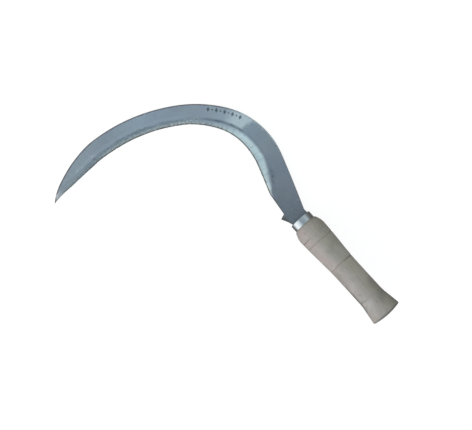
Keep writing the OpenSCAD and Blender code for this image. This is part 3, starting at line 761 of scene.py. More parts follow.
# --------------------------------------------------------------------------
# node helpers
# --------------------------------------------------------------------------
class Tree:
    def __init__(self, tree):
        self.t = tree
        tree.nodes.clear()

    def node(self, kind, **settings):
        n = self.t.nodes.new("ShaderNode" + kind)
        for k, v in settings.items():
            setattr(n, k, v)
        return n

    def put(self, socket, value):
        if hasattr(value, "is_output"):
            self.t.links.new(value, socket)
        elif value is not None:
            if hasattr(socket, "default_value") and hasattr(socket.default_value, "__len__") and not hasattr(value, "__len__"):
                value = (value,) * len(socket.default_value)
            if hasattr(socket.default_value, "__len__") and len(socket.default_value) == 4 and len(value) == 3:
                value = (*value, 1.0)
            socket.default_value = value

    def attr(self, name):
        return self.node("Attribute", attribute_name=name).outputs["Fac"]

    def math(self, op, a, b=0.0, c=0.0, clamp=False):
        n = self.node("Math", operation=op, use_clamp=clamp)
        for s, v in zip(n.inputs, (a, b, c)):
            self.put(s, v)
        return n.outputs[0]

    def add(self, a, b):
        return self.math("ADD", a, b)

    def sub(self, a, b):
        return self.math("SUBTRACT", a, b)

    def mul(self, a, b, clamp=False):
        return self.math("MULTIPLY", a, b, clamp=clamp)

    def mad(self, a, b, c, clamp=False):
        return self.math("MULTIPLY_ADD", a, b, c, clamp=clamp)

    def max(self, a, b):
        return self.math("MAXIMUM", a, b)

    def vec(self, x, y, z=0.0):
        n = self.node("CombineXYZ")
        for s, v in zip(n.inputs, (x, y, z)):
            self.put(s, v)
        return n.outputs[0]

    def range(self, value, a, b, lo=0.0, hi=1.0, smooth=True):
        n = self.node("MapRange", interpolation_type="SMOOTHSTEP" if smooth else "LINEAR")
        for s, v in zip(n.inputs, (value, a, b, lo, hi)):
            self.put(s, v)
        return n.outputs[0]

    def noise(self, vec, scale=1.0, detail=3.0, rough=0.55, distort=0.0, kind="FBM"):
        n = self.node("TexNoise", noise_dimensions="3D")
        n.noise_type = kind
        self.put(n.inputs["Vector"], vec)
        for k, v in (("Scale", scale), ("Detail", detail), ("Roughness", rough), ("Distortion", distort)):
            self.put(n.inputs[k], v)
        return n.outputs["Fac"]

    def voronoi(self, vec, scale=1.0, feature="F1", random=1.0):
        n = self.node("TexVoronoi", feature=feature)
        self.put(n.inputs["Vector"], vec)
        self.put(n.inputs["Scale"], scale)
        self.put(n.inputs["Randomness"], random)
        return n.outputs["Distance"]

    def mix(self, f, a, b, blend="MIX"):
        n = self.node("Mix", data_type="RGBA", blend_type=blend, clamp_factor=True)
        self.put(n.inputs[0], f)
        self.put(n.inputs[6], a)
        self.put(n.inputs[7], b)
        return n.outputs[2]

    def lerp(self, f, a, b):
        n = self.node("Mix", data_type="FLOAT", clamp_factor=True)
        self.put(n.inputs[0], f)
        self.put(n.inputs[2], a)
        self.put(n.inputs[3], b)
        return n.outputs[0]

    def ramp(self, f, stops):
        n = self.node("ValToRGB")
        self.put(n.inputs[0], f)
        el = n.color_ramp.elements
        while len(el) < len(stops):
            el.new(0.5)
        for e, (p, c) in zip(el, stops):
            e.position = p
            e.color = (*c, 1.0)
        return n.outputs[0]

    def bump(self, height, distance, strength=1.0, normal=None):
        n = self.node("Bump")
        self.put(n.inputs["Strength"], strength)
        self.put(n.inputs["Distance"], distance)
        self.put(n.inputs["Height"], height)
        if normal is not None:
            self.put(n.inputs["Normal"], normal)
        return n.outputs["Normal"]


def new_material(name):
    m = bpy.data.materials.new(name)
    m.use_nodes = True
    return m, Tree(m.node_tree)


def principled(t, colour, rough, metal, normal=None, **extra):
    b = t.node("BsdfPrincipled")
    t.put(b.inputs["Base Color"], colour)
    t.put(b.inputs["Roughness"], rough)
    t.put(b.inputs["Metallic"], metal)
    if normal is not None:
        t.put(b.inputs["Normal"], normal)
    for k, v in extra.items():
        t.put(b.inputs[k.replace("_", " ")], v)
    o = t.node("OutputMaterial")
    t.t.links.new(b.outputs[0], o.inputs[0])


# --------------------------------------------------------------------------
# forged steel
# --------------------------------------------------------------------------
def blade_material():
    m, t = new_material("forged_steel")
    s, v, e = t.attr("s"), t.attr("v"), t.attr("e")
    top, ground, valley_shade = t.attr("top"), t.attr("ground"), t.attr("valley_shade")
    peen, dent, mark, neck, tang = t.attr("peen"), t.attr("dent"), t.attr("mark"), t.attr("neck"), t.attr("tang")
    fleck, spot, plate = t.attr("fleck"), t.attr("spot"), t.attr("plate")
    pos = t.node("TexCoord").outputs["Object"]
    along = t.vec(t.mul(s, 1000.0), t.mul(v, 1000.0), t.mul(top, 40.0))      # mm along, mm across

    # ---- the hammered and scaled flat ----
    cloud = t.noise(along, 1 / 38.0, 2, 0.5)
    patch = t.noise(along, 1 / 11.0, 4, 0.6, 0.4)
    grain = t.noise(along, 1 / 1.7, 4, 0.6)
    speck = t.noise(along, 1 / 0.55, 2, 0.6)
    streak = t.noise(t.vec(t.mul(s, 1000 / 26.0), t.mul(v, 1000 / 1.1), top), 1.0, 3, 0.6)
    flat = t.ramp(t.mad(cloud, 0.55, t.mul(patch, 0.45)), [
        (0.30, (0.385, 0.430, 0.465)), (0.46, (0.425, 0.475, 0.510)), (0.56, (0.445, 0.500, 0.535)), (0.72, (0.490, 0.545, 0.570))])
    flat = t.mix(t.range(grain, 0.35, 0.68, 0.0, 0.14), flat, (0.32, 0.37, 0.41))
    flat = t.mix(t.range(speck, 0.50, 0.66, 0.0, 0.26), flat, (0.330, 0.375, 0.410))
    flat = t.mix(t.range(speck, 0.48, 0.34, 0.0, 0.30), flat, (0.560, 0.610, 0.640))
    flat = t.mix(t.range(streak, 0.52, 0.75, 0.0, 0.22), flat, (0.56, 0.61, 0.64))
    # heat colours left in it: faint violet here, faint green there
    flat = t.mix(t.range(t.noise(along, 1 / 16.0, 3, 0.55, 0.5), 0.50, 0.66, 0.0, 0.30), flat, (0.445, 0.445, 0.515))
    flat = t.mix(t.range(t.noise(t.vec(t.mul(v, 1000.0), t.mul(s, 1000.0), 31.0), 1 / 21.0, 3, 0.55, 0.5), 0.50, 0.64, 0.0, 0.26), flat, (0.420, 0.500, 0.475))
    # the steel gets darker and bluer towards the neck: part fire scale, part painted shade where the plate bends up
    # into the handle
    sm = t.mul(s, 1000.0)
    tone = t.ramp(t.mul(sm, 1 / 400.0), [
        (0.000, (0.35, 0.35, 0.365)), (0.075, (0.41, 0.41, 0.425)), (0.150, (0.45, 0.46, 0.49)), (0.200, (0.485, 0.49, 0.50)),
        (0.280, (0.53, 0.575, 0.595)), (0.450, (0.560, 0.565, 0.590)), (0.600, (0.600, 0.630, 0.665)), (0.760, (0.565, 0.570, 0.580)), (0.950, (0.575, 0.575, 0.565))])
    flat = t.mix(1.0, t.mix(1.0, flat, tone, "MULTIPLY"), (2.0, 2.0, 2.0), "MULTIPLY")
    scale_edge = t.noise(along, 1 / 9.0, 4, 0.6, 0.5)
    scale = t.range(t.mad(scale_edge, 0.6, t.mul(neck, 0.55)), 0.42, 0.85)
    flat = t.mix(t.mul(scale, 0.26), flat, (0.220, 0.250, 0.280))
    # a painted reflection: a brighter patch at the crown of the crook, sharp on the side of the neck, fading the other
    # way
    shore = t.noise(along, 1 / 4.2, 3, 0.55, 0.4)
    lean = t.mad(v, -280.0, t.mad(shore, 9.0, t.add(sm, 2.6)))
    painted_reflection = t.mul(t.range(lean, 119.5, 126.0), t.range(t.mad(patch, 20.0, sm), 140.0, 163.0, 1.0, 0.0))
    painted_reflection = t.mul(t.mul(painted_reflection, t.mul(plate, top)), t.range(t.mad(shore, 5.0, t.mul(v, 1000.0)), 2.3, 4.3))
    flat = t.mix(t.mul(painted_reflection, 0.97), flat, (0.87, 0.99, 1.0))
    # the same painted reflection, fainter, carried further along the blade
    painted_reflection_fade = t.mul(t.range(lean, 119.5, 126.0), t.range(t.mad(patch, 20.0, sm), 160.0, 205.0, 1.0, 0.0))
    painted_reflection_fade = t.mul(t.mul(painted_reflection_fade, t.mul(plate, top)), t.range(t.mad(shore, 5.0, t.mul(v, 1000.0)), 2.3, 4.3))
    flat = t.mix(t.mul(painted_reflection_fade, 0.22), flat, (0.80, 0.90, 0.97))
    # burnished a little, just short of the hammered strip
    shine = t.mul(t.range(t.math("ABSOLUTE", t.sub(t.mul(e, 1000.0), 8.3)), 2.9, 0.8), t.mul(t.range(sm, 188.0, 206.0), t.range(sm, 352.0, 325.0)))
    flat = t.mix(t.mul(shine, t.mad(shore, 0.7, 0.05)), flat, (0.580, 0.665, 0.730))

    # ---- the ground band ----
    gs = t.mul(s, 1000.0)
    ge = t.mul(e, 1000.0)
    stone = t.noise(t.vec(t.mul(gs, 1 / 0.28), t.mul(ge, 1 / 5.5), 3.0), 1.0, 3, 0.65)
    stone2 = t.noise(t.vec(t.mad(ge, 0.45, t.mul(gs, 1.0)), t.mul(ge, 1 / 9.0), 8.0), 1 / 0.8, 3, 0.6)
    gcol = t.ramp(t.mad(stone, 0.45, t.mul(patch, 0.55)), [
        (0.32, (0.610, 0.735, 0.745)), (0.50, (0.700, 0.835, 0.845)), (0.68, (0.800, 0.905, 0.905))])
    gcol = t.mix(t.range(t.noise(along, 1 / 6.5, 3, 0.5, 0.3), 0.56, 0.70, 0.0, 0.35), gcol, (0.74, 0.75, 0.64))
    gcol = t.mix(t.range(ge, 3.0, 0.8, 0.0, 0.48), gcol, (0.52, 0.53, 0.50))
    ground_far = t.range(gs, 118.0, 172.0)
    gcol = t.mix(t.mul(ground_far, 0.90), gcol, t.ramp(patch, [(0.35, (0.29, 0.335, 0.35)), (0.62, (0.38, 0.42, 0.425))]))
    col = t.mix(ground, flat, gcol)

    # ---- the line where the two meet, painted dark as shade, and the hammered strip ----
    # painted shade along the line between the ground band and the flat
    col = t.mix(t.mul(valley_shade, t.range(gs, 116.0, 130.0, 0.86, 0.64), True), col, (0.165, 0.225, 0.275))
    # the hammered strip: darker steel, its dents painted lighter as glints
    pcol = t.ramp(t.mad(dent, 0.55, t.mul(patch, 0.60)), [
        (0.22, (0.280, 0.345, 0.380)), (0.42, (0.340, 0.415, 0.455)), (0.62, (0.405, 0.480, 0.520)), (0.90, (0.58, 0.64, 0.66))])
    soft_peen = t.mul(peen, t.range(t.mad(shore, 1.2, t.mul(peen, 0.9)), 0.55, 1.15, 0.35, 1.0))
    col = t.mix(t.mul(soft_peen, 0.84), col, pcol)
    # rubbed bright just inside the edge, with a dark uneven line of painted shade along the edge itself
    rubbed = t.mul(t.range(ge, 4.3, 2.6, 0.0, 1.0), t.range(t.noise(along, 1 / 2.0, 4, 0.65), 0.43, 0.58))
    rubbed = t.mul(rubbed, t.mul(t.range(gs, 150.0, 200.0), t.range(gs, 285.0, 325.0, 1.0, 0.25)))
    col = t.mix(t.mul(rubbed, 0.78), col, (0.80, 0.82, 0.77))
    dash = t.range(t.noise(t.vec(t.mul(gs, 1 / 4.0), t.mul(ge, 1 / 3.0), 4.0), 1.0, 4, 0.6), 0.38, 0.56)
    wav = t.mul(t.noise(t.vec(t.mul(gs, 1 / 2.6), 0.0, 14.0), 1.0, 3, 0.6), 1.1)
    painted_edge_shade = t.mul(t.range(t.sub(ge, t.sub(wav, 0.55)), 0.75, 1.65, 1.0, 0.0), t.mul(t.range(gs, 2.0, 26.0, 0.60, 1.0), t.mad(dash, 0.42, 0.58)))
    painted_edge_shade = t.mul(painted_edge_shade, t.range(gs, 325.0, 350.0, 1.0, 0.45))
    col = t.mix(t.mul(painted_edge_shade, 0.88), col, (0.105, 0.092, 0.080))
    point = t.mul(t.range(gs, 366.0, 381.0), t.range(t.noise(along, 1 / 1.6, 3, 0.6), 0.38, 0.58))
    col = t.mix(t.mul(point, 0.90), col, (0.93, 0.92, 0.91))

    # ---- oxide in the marks, on the spur and in pits; along the back, oxide under a dark band of painted shade ----
    vm = t.mul(v, 1000.0)
    back = t.range(t.mad(t.noise(along, 1 / 4.0, 3, 0.6), -1.6, t.add(vm, 0.45)), 0.15, 1.65, 1.0, 0.0)
    fringe = t.mul(t.range(vm, 1.9, 0.8), t.mul(t.range(gs, 50.0, 86.0), t.range(gs, 148.0, 122.0)))
    col = t.mix(t.mul(fringe, 0.50), col, (0.86, 0.93, 0.89))
    # the back's dark band: oxide, and painted shade on the spine's rounded corner
    back = t.mul(back, t.math("MAXIMUM", t.range(gs, 120.0, 160.0, 0.10, 1.0), t.range(gs, 84.0, 62.0, 0.0, 0.24)))
    col = t.mix(t.mul(back, 0.88), col, t.ramp(grain, [(0.3, (0.115, 0.090, 0.105)), (0.7, (0.205, 0.155, 0.170))]))
    col = t.mix(t.mul(spot, 0.75, True), col, t.ramp(grain, [(0.35, (0.200, 0.130, 0.105)), (0.65, (0.330, 0.235, 0.200))]))
    col = t.mix(t.mul(fleck, 0.90, True), col, (0.88, 0.90, 0.90))
    col = t.mix(t.mul(mark, 0.86, True), col, (0.105, 0.135, 0.170))
    spur = t.range(vm, 19.0, 24.0)
    spur = t.mul(spur, t.range(gs, 2.0, -1.0))
    col = t.mix(t.mul(spur, 0.85), col, t.ramp(patch, [(0.35, (0.110, 0.125, 0.115)), (0.65, (0.200, 0.220, 0.195))]))
    pits = t.range(t.voronoi(t.vec(t.mul(s, 1000.0), vm, top), 1 / 4.3), 0.055, 0.10, 1.0, 0.0)
    pits = t.mul(pits, t.range(t.noise(along, 1 / 14.0, 2), 0.50, 0.62))
    col = t.mix(t.mul(pits, 0.85), col, (0.115, 0.085, 0.070))
    rust = t.mul(t.range(t.noise(along, 1 / 3.4, 5, 0.7, 0.8), 0.60, 0.72), t.range(t.noise(along, 1 / 27.0, 2), 0.52, 0.64))
    col = t.mix(t.mul(rust, 0.38), col, (0.290, 0.215, 0.165))
    # handling scratches
    drift = t.mad(t.noise(along, 1 / 30.0, 2), 9.0, 0.0)
    scr_a = t.noise(t.vec(t.mad(gs, 0.10, t.mul(vm, 0.03)), t.add(drift, t.mad(gs, -0.55, t.mul(vm, 4.6))), 1.0), 0.60, 2, 0.5)
    scr_b = t.noise(t.vec(t.mad(gs, 0.10, t.mul(vm, -0.16)), t.add(drift, t.mad(gs, 3.6, t.mul(vm, 2.4))), 5.0), 0.50, 2, 0.5)
    scr = t.math("MAXIMUM", t.range(scr_a, 0.645, 0.70), t.mul(t.range(scr_b, 0.675, 0.72), 0.7))
    scr = t.mul(scr, t.range(t.noise(along, 1 / 18.0, 3, 0.55), 0.44, 0.60, 0.10, 1.0))
    col = t.mix(t.mul(scr, 0.26), col, (0.80, 0.83, 0.84))
    # scale left in the hollows, broken into small islands
    isle = t.mul(t.range(t.noise(along, 1 / 1.25, 5, 0.68, 0.3), 0.53, 0.62), t.range(t.noise(along, 1 / 12.0, 3, 0.6), 0.42, 0.60))
    isle = t.mul(isle, t.mad(ground, -0.75, 0.95, True))
    col = t.mix(t.mul(isle, 0.20), col, (0.260, 0.290, 0.315))
    # bare tang
    col = t.mix(tang, col, t.ramp(patch, [(0.35, (0.15, 0.14, 0.14)), (0.65, (0.29, 0.27, 0.26))]))

    dark = t.math("MAXIMUM", t.math("MAXIMUM", back, spur), t.math("MAXIMUM", t.mul(pits, 1.0), t.mul(mark, 0.9)))
    rough = t.lerp(ground, t.mad(grain, 0.16, 0.33), t.mad(stone, 0.18, 0.22))
    rough = t.lerp(scale, rough, t.mad(grain, 0.16, 0.40))
    rough = t.lerp(peen, rough, t.mad(dent, -0.10, 0.38))
    rough = t.lerp(dark, rough, 0.58)
    rough = t.mad(isle, 0.14, rough)
    rough = t.sub(rough, t.mul(scr, 0.08))
    metal = t.lerp(t.math("MAXIMUM", t.mul(rust, 0.4), dark), 1.0, 0.72)

    fine = t.bump(t.mad(isle, 0.5, t.mad(speck, 0.30, t.mul(grain, 0.60))), 0.00012, t.lerp(ground, 0.26, 0.08))
    fine = t.bump(t.mad(stone, 0.8, t.mul(stone2, 0.2)), 0.00008, t.mul(ground, 0.30), fine)
    fine = t.bump(t.math("MULTIPLY", t.math("MAXIMUM", scr, t.mul(pits, 1.5)), -1.0), 0.00006, 0.5, fine)
    principled(t, col, rough, metal, fine)
    return m


# --------------------------------------------------------------------------
# plated ring
# --------------------------------------------------------------------------
def ferrule_material():
    m, t = new_material("dull_plating")
    tt, arc, out, seam = t.mul(t.attr("t"), 1000.0), t.mul(t.attr("arc"), 1000.0), t.attr("out"), t.attr("seam")
    vec = t.vec(tt, arc, 0.0)
    cloud = t.noise(vec, 1 / 7.0, 4, 0.6, 0.3)
    fine = t.noise(t.vec(t.mul(tt, 5.0), t.mul(arc, 0.18), 0.0), 1.0, 3, 0.6)
    wipe = t.noise(t.vec(t.mul(tt, 0.35), t.mul(arc, 2.2), 2.0), 1.0, 3, 0.6)
    col = t.ramp(cloud, [(0.30, (0.60, 0.645, 0.665)), (0.55, (0.68, 0.72, 0.74)), (0.75, (0.75, 0.78, 0.79))])
    # painted shade on the reflection: darker along the top of the ring, where it mirrors the dim overhead, plain beside
    # it
    col = t.mix(t.mul(t.range(t.math("ABSOLUTE", t.sub(arc, 24.0)), 5.2, 1.5), 0.42), col, (0.43, 0.48, 0.50))
    edge = t.math("MAXIMUM", t.range(tt, 0.0, 0.9, 1.0, 0.0), t.range(tt, 7.5, 8.2))
    edge = t.mul(edge, t.range(t.noise(vec, 1 / 1.6, 3, 0.6), 0.40, 0.62))
    col = t.mix(t.mul(edge, 0.45), col, (0.36, 0.35, 0.31))
    col = t.mix(t.mul(seam, 0.85), col, (0.13, 0.12, 0.11))
    spots = t.mul(t.range(t.voronoi(vec, 1 / 2.6), 0.06, 0.16, 1.0, 0.0), t.range(t.noise(vec, 1 / 6.0, 2), 0.52, 0.60))
    col = t.mix(t.mul(spots, 0.60), col, (0.25, 0.19, 0.14))
    col = t.mix(t.range(out, 0.6, 0.1, 0.0, 0.75), col, (0.20, 0.20, 0.20))
    scr = t.math("MAXIMUM", t.range(fine, 0.63, 0.70), t.range(wipe, 0.66, 0.72))
    rough = t.mad(cloud, 0.16, t.mad(scr, 0.10, 0.14))
    rough = t.lerp(t.math("MAXIMUM", edge, t.math("MAXIMUM", seam, spots)), rough, 0.52)
    normal = t.bump(t.mad(fine, 0.6, t.mul(wipe, 0.4)), 0.00004, 0.35)
    normal = t.bump(t.mul(t.math("MAXIMUM", scr, spots), -1.0), 0.00003, 0.5, normal)
    principled(t, col, rough, t.lerp(t.mul(spots, 0.8), 1.0, 0.4), normal)
    return m


# --------------------------------------------------------------------------
# weathered wood
# --------------------------------------------------------------------------
def wood_material():
    m, t = new_material("weathered_hardwood")
    tt, hy, hz = (t.mul(t.attr(k), 1000.0) for k in ("t", "hy", "hz"))
    ring, soft, groove, crack = t.attr("ring"), t.attr("soft"), t.attr("groove"), t.attr("crack")
    butt, chip, knock, inside = t.attr("butt"), t.attr("chip"), t.attr("knock"), t.attr("inside")
    body = t.vec(tt, hy, hz)
    # long grain: stretched about 30 to 1 along the handle
    fibre = t.noise(t.vec(t.mul(tt, 1 / 26.0), t.mul(hy, 1.15), t.mul(hz, 1.15)), 1.0, 5, 0.62)
    fine = t.noise(t.vec(t.mul(tt, 1 / 7.0), t.mul(hy, 4.2), t.mul(hz, 4.2)), 1.0, 4, 0.65)
    ray = t.noise(t.vec(t.mul(tt, 1 / 2.6), t.mul(hy, 2.6), t.mul(hz, 2.6)), 1.0, 2, 0.5)
    cloud = t.noise(body, 1 / 26.0, 3, 0.55)
    blot = t.noise(body, 1 / 8.5, 4, 0.6, 0.6)
    late = t.range(soft, 0.55, 1.0)

    base = t.ramp(t.mad(fibre, 0.45, t.mul(cloud, 0.55)), [
        (0.32, (0.485, 0.436, 0.378)), (0.45, (0.530, 0.481, 0.421)), (0.56, (0.560, 0.509, 0.449)), (0.70, (0.600, 0.550, 0.490))])
    base = t.mix(t.mul(late, 0.13), base, (0.330, 0.300, 0.255))
    base = t.mix(t.range(fine, 0.42, 0.66, 0.0, 0.14), base, (0.285, 0.262, 0.225))
    base = t.mix(t.range(fine, 0.52, 0.28, 0.0, 0.12), base, (0.70, 0.68, 0.64))
    # warm bare wood shows through the grey in places, and a green-grey bloom in others
    warm = t.mul(t.range(t.noise(body, 1 / 19.0, 3, 0.55, 0.4), 0.40, 0.60), t.mul(t.range(hy, 1.0, -8.0), t.range(tt, 84.0, 50.0)))
    base = t.mix(t.mul(warm, 0.55), base, (0.615, 0.492, 0.466))
    cool = t.mul(t.range(tt, 60.0, 76.0), t.range(hy, 4.0, -6.0))
    base = t.mix(t.mul(cool, 0.38), base, (0.520, 0.488, 0.462))
    base = t.mix(t.mul(t.mul(t.range(hy, -8.0, -12.0), t.range(tt, 64.0, 70.0)), t.range(tt, 104.0, 84.0, 0.0, 0.5)), base, (0.380, 0.350, 0.325))
    base = t.mix(t.mul(t.mul(t.range(tt, 98.0, 114.0), t.range(tt, 127.0, 120.0)), t.range(hy, 0.0, -7.0, 0.0, 0.5)), base, (0.645, 0.612, 0.580))
    green = t.mul(t.range(t.noise(body, 1 / 23.0, 3, 0.5), 0.40, 0.62), t.range(hy, -5.0, 5.0))
    base = t.mix(t.mul(green, 0.42), base, (0.470, 0.445, 0.352))
    base = t.mix(1.0, base, t.mix(t.range(hy, -4.0, 7.0, 0.0, 1.0), (0.97, 0.97, 0.97), (1.0, 0.99, 0.925)), "MULTIPLY")
    # the outer half has gone browner, and the side that was held outwards has bleached
    base = t.mix(t.range(tt, 58.0, 76.0), base, (1.0, 0.970, 0.962), "MULTIPLY")
    base = t.mix(t.mul(t.range(tt, 93.0, 106.0), t.range(hy, 10.0, 2.0)), base, (0.978, 0.985, 0.990), "MULTIPLY")
    held = t.mul(t.range(hy, 2.0, 11.0), t.mul(t.range(tt, 40.0, 56.0), t.range(tt, 104.0, 84.0)))
    base = t.mix(held, base, (1.16, 1.155, 1.20), "MULTIPLY")
    # soft grey blotches of old grime, heavier along the underside of the grip near the butt
    soft_blot = t.range(t.noise(body, 1 / 13.0, 2, 0.5, 0.8), 0.46, 0.62)
    base = t.mix(t.mul(soft_blot, 0.25), base, (0.395, 0.378, 0.345))
    grime = t.mul(t.range(tt, 84.0, 112.0), t.range(hy, -1.0, 12.0))
    base = t.mix(t.mul(grime, t.mad(soft_blot, 0.30, 0.30)), base, (0.290, 0.280, 0.235))
    base = t.mix(t.mul(t.attr("shadow"), 0.50, True), base, (0.310, 0.292, 0.240))
    base = t.mix(t.mul(t.attr("pale"), 0.45, True), base, (0.690, 0.650, 0.625))
    # darker down both flanks, and more so on the -Y flank towards the butt
    flank = t.mul(t.range(t.math("ABSOLUTE", hz), 6.0, 1.0), t.range(tt, 52.0, 66.0, 0.25, 1.0))
    base = t.mix(t.mul(flank, t.mad(blot, 0.50, 0.10)), base, (0.215, 0.200, 0.180))
    tn = t.mad(blot, 16.0, t.sub(tt, 8.0))
    flank2 = t.mul(t.mul(t.range(t.sub(hz, 1.0), 7.0, 2.5), t.range(hy, -9.0, -12.0)), t.mul(t.range(tn, 84.0, 104.0), t.range(tn, 133.0, 115.0)))
    flank2 = t.mul(flank2, t.range(t.mad(blot, 6.0, hz), -3.5, 2.5))
    base = t.mix(t.mul(flank2, t.mad(blot, 0.8, 0.42)), base, (0.165, 0.152, 0.140))
    # open pores: short dark dashes along the grain
    pores = t.range(t.voronoi(t.vec(t.mul(tt, 1 / 4.2), t.mul(hy, 2.3), t.mul(hz, 2.3)), 1.0), 0.10, 0.22, 1.0, 0.0)
    pores = t.mul(pores, t.range(soft, 0.15, 0.75, 0.25, 1.0))
    base = t.mix(t.mul(pores, 0.42), base, (0.205, 0.180, 0.150))
    # dirt and hand stains
    stain = t.range(blot, 0.52, 0.74)
    base = t.mix(t.mul(stain, 0.20), base, (0.270, 0.250, 0.215))
    base = t.mix(t.range(ray, 0.63, 0.73, 0.0, 0.15), base, (0.235, 0.210, 0.175))
    # end grain
    rings = t.math("FRACT", ring)
    pore = t.range(t.voronoi(t.vec(0.0, hy, hz), 1 / 0.55), 0.16, 0.34, 1.0, 0.0)
    end = t.ramp(t.math("ABSOLUTE", t.mad(rings, 2.0, -1.0)), [(0.0, (0.190, 0.165, 0.135)), (0.5, (0.320, 0.290, 0.245)), (1.0, (0.250, 0.225, 0.190))])
    end = t.mix(t.mul(pore, 0.45), end, (0.11, 0.09, 0.075))
    end = t.mix(t.range(blot, 0.45, 0.70, 0.0, 0.5), end, (0.165, 0.150, 0.130))
    base = t.mix(butt, base, end)
    # grooves, cracks, knocks, chips
    # painted shade in the grooves, darker where the cut is deeper
    base = t.mix(t.mul(groove, 0.66, True), base, (0.165, 0.150, 0.125))
    base = t.mix(t.mul(crack, 0.88), base, (0.050, 0.042, 0.035))
    base = t.mix(t.mul(knock, 0.40, True), base, (0.205, 0.185, 0.160))
    base = t.mix(t.mul(chip, 0.35), base, (0.175, 0.155, 0.130))
    neck_dirt = t.mul(t.range(tt, 8.0, 12.0, 1.0, 0.0), t.range(hy, -9.0, 4.0, 0.25, 0.8))
    base = t.mix(t.mul(neck_dirt, t.mad(blot, 0.5, 0.05)), base, (0.225, 0.215, 0.180))
    butt_dirt = t.range(tt, 134.6, 137.3)
    base = t.mix(t.mul(butt_dirt, t.mad(blot, 0.6, 0.35)), base, (0.130, 0.118, 0.105))
    base = t.mix(t.mul(inside, 0.7), base, (0.30, 0.225, 0.150))
    rough = t.mad(fine, 0.16, t.mad(stain, -0.10, 0.62))
    rough = t.mad(knock, -0.15, rough)
    relief = t.mad(pores, -0.55, t.mad(fibre, 0.45, t.mad(fine, 0.45, t.mul(ray, -0.25))))
    normal = t.bump(relief, 0.00035, 0.55)
    normal = t.bump(t.mul(t.mul(pore, butt), -1.0), 0.0002, 0.6, normal)
    principled(t, base, rough, 0.0, normal, Specular_IOR_Level=0.32)
    return m


# --------------------------------------------------------------------------
# build
# --------------------------------------------------------------------------
blade = build_blade()
ferrule = build_ferrule()
handle = build_handle()
for ob, node, slot, mat in ((blade, "blade", "blade_steel", blade_material()),
                            (ferrule, "ferrule", "ferrule_metal", ferrule_material()),
                            (handle, "handle", "handle_wood", wood_material())):
    ob.data.materials.append(mat)
    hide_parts(node)
    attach(ob, "root")


# --------------------------------------------------------------------------
# the floor: the plane the sickle really rests on
# --------------------------------------------------------------------------
def rest_plane():
    """Normal and height of the plane under the sickle's centre of mass, from the hull of the CAD solids."""
    com = Vector((-0.0162, -0.0148, 0.0049))
    bm = bmesh.new()
    for name in ("blade", "ferrule", "handle"):
        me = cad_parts[name].data
        for v in me.vertices:
            if v.co.z < 0.004:
                bm.verts.new(v.co)
    bmesh.ops.convex_hull(bm, input=bm.verts)
    best = None
    for f in bm.faces:
        nrm = f.normal
        if nrm.z > -0.5 or f.calc_area() < 1e-6:
            continue
        p = com - nrm * (com - f.verts[0].co).dot(nrm)
        inside = all((b.co - a.co).cross(p - a.co).dot(nrm) >= -1e-9 for a, b in zip(list(f.verts), list(f.verts)[1:] + [f.verts[0]]))
        if inside:
            best = (-nrm.copy(), f.verts[0].co.copy())
            break
    bm.free()
    return best or (Vector((0, 0, 1)), Vector((0, 0, cad_box[0].z)))


up, at = rest_plane()
low = 1e9
for ob in (blade, ferrule, handle):
    co = np.zeros(len(ob.data.vertices) * 3, np.float32)
    ob.data.vertices.foreach_get("co", co)
    low = min(low, float((co.reshape(-1, 3) @ np.array(up)).min()))
centre = (cad_box[0] + cad_box[1]) / 2
foot = Vector((centre.x, centre.y, 0.0))
foot = foot - up * (foot.dot(up) - low)

FAR_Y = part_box("ferrule")[0].y
bm = bmesh.new()
size, cells_n = 60.0, 24
bmesh.ops.create_grid(bm, x_segments=cells_n, y_segments=cells_n, size=size / 2 * 2)
floor_me = bpy.data.meshes.new("studio_floor")
bm.to_mesh(floor_me)
bm.free()
floor = bpy.data.objects.new("studio_floor", floor_me)
bpy.context.scene.collection.objects.link(floor)
floor.rotation_mode = "QUATERNION"
floor.rotation_quaternion = Vector((0, 0, 1)).rotation_difference(up)
floor.location = foot
m, t = new_material("white_sweep")
lp = t.node("LightPath")
n_ = t.noise(t.node("TexCoord").outputs["Object"], 60.0, 3, 0.5)
seen = t.node("BsdfDiffuse")
t.put(seen.inputs["Color"], t.mix(n_, (0.215, 0.213, 0.210), (0.225, 0.223, 0.220)))
glow = t.node("Emission")
t.put(glow.inputs["Color"], (1.0, 1.0, 1.0, 1.0))
t.put(glow.inputs["Strength"], 0.90)
both_ = t.node("AddShader")
t.t.links.new(seen.outputs[0], both_.inputs[0])
t.t.links.new(glow.outputs[0], both_.inputs[1])
unseen = t.node("Emission")
spot = t.node("SeparateXYZ")
t.t.links.new(t.node("NewGeometry").outputs["Position"], spot.inputs[0])
far = t.range(spot.outputs["Y"], FAR_Y - 0.02, FAR_Y - 0.10)
t.put(unseen.inputs["Color"], t.mix(far, (0.10, 0.10, 0.095), (0.62, 0.62, 0.63)))
t.put(unseen.inputs["Strength"], t.lerp(lp.outputs["Is Glossy Ray"], 1.0, 1.45))
pick = t.node("MixShader")
t.t.links.new(lp.outputs["Is Camera Ray"], pick.inputs[0])
t.t.links.new(unseen.outputs[0], pick.inputs[1])
t.t.links.new(both_.outputs[0], pick.inputs[2])
# looked at from underneath, the floor is clear, and so is what the underside mirrors
below = t.max(t.node("NewGeometry").outputs["Backfacing"], t.math("GREATER_THAN", lp.outputs["Transparent Depth"], 0.5))
clear = t.node("MixShader")
t.put(clear.inputs[0], below)
t.t.links.new(pick.outputs[0], clear.inputs[1])
t.t.links.new(t.node("BsdfTransparent").outputs[0], clear.inputs[2])
out = t.node("OutputMaterial")
t.t.links.new(clear.outputs[0], out.inputs[0])
floor_me.materials.append(m)


# --------------------------------------------------------------------------
# light
# --------------------------------------------------------------------------
def direction(azimuth, off_zenith):
    """Unit vector: azimuth from +X towards +Y, and how far it leans from straight up, in degrees."""
    a, z = math.radians(azimuth), math.radians(off_zenith)
    return (math.cos(a) * math.sin(z), math.sin(a) * math.sin(z), math.cos(z))


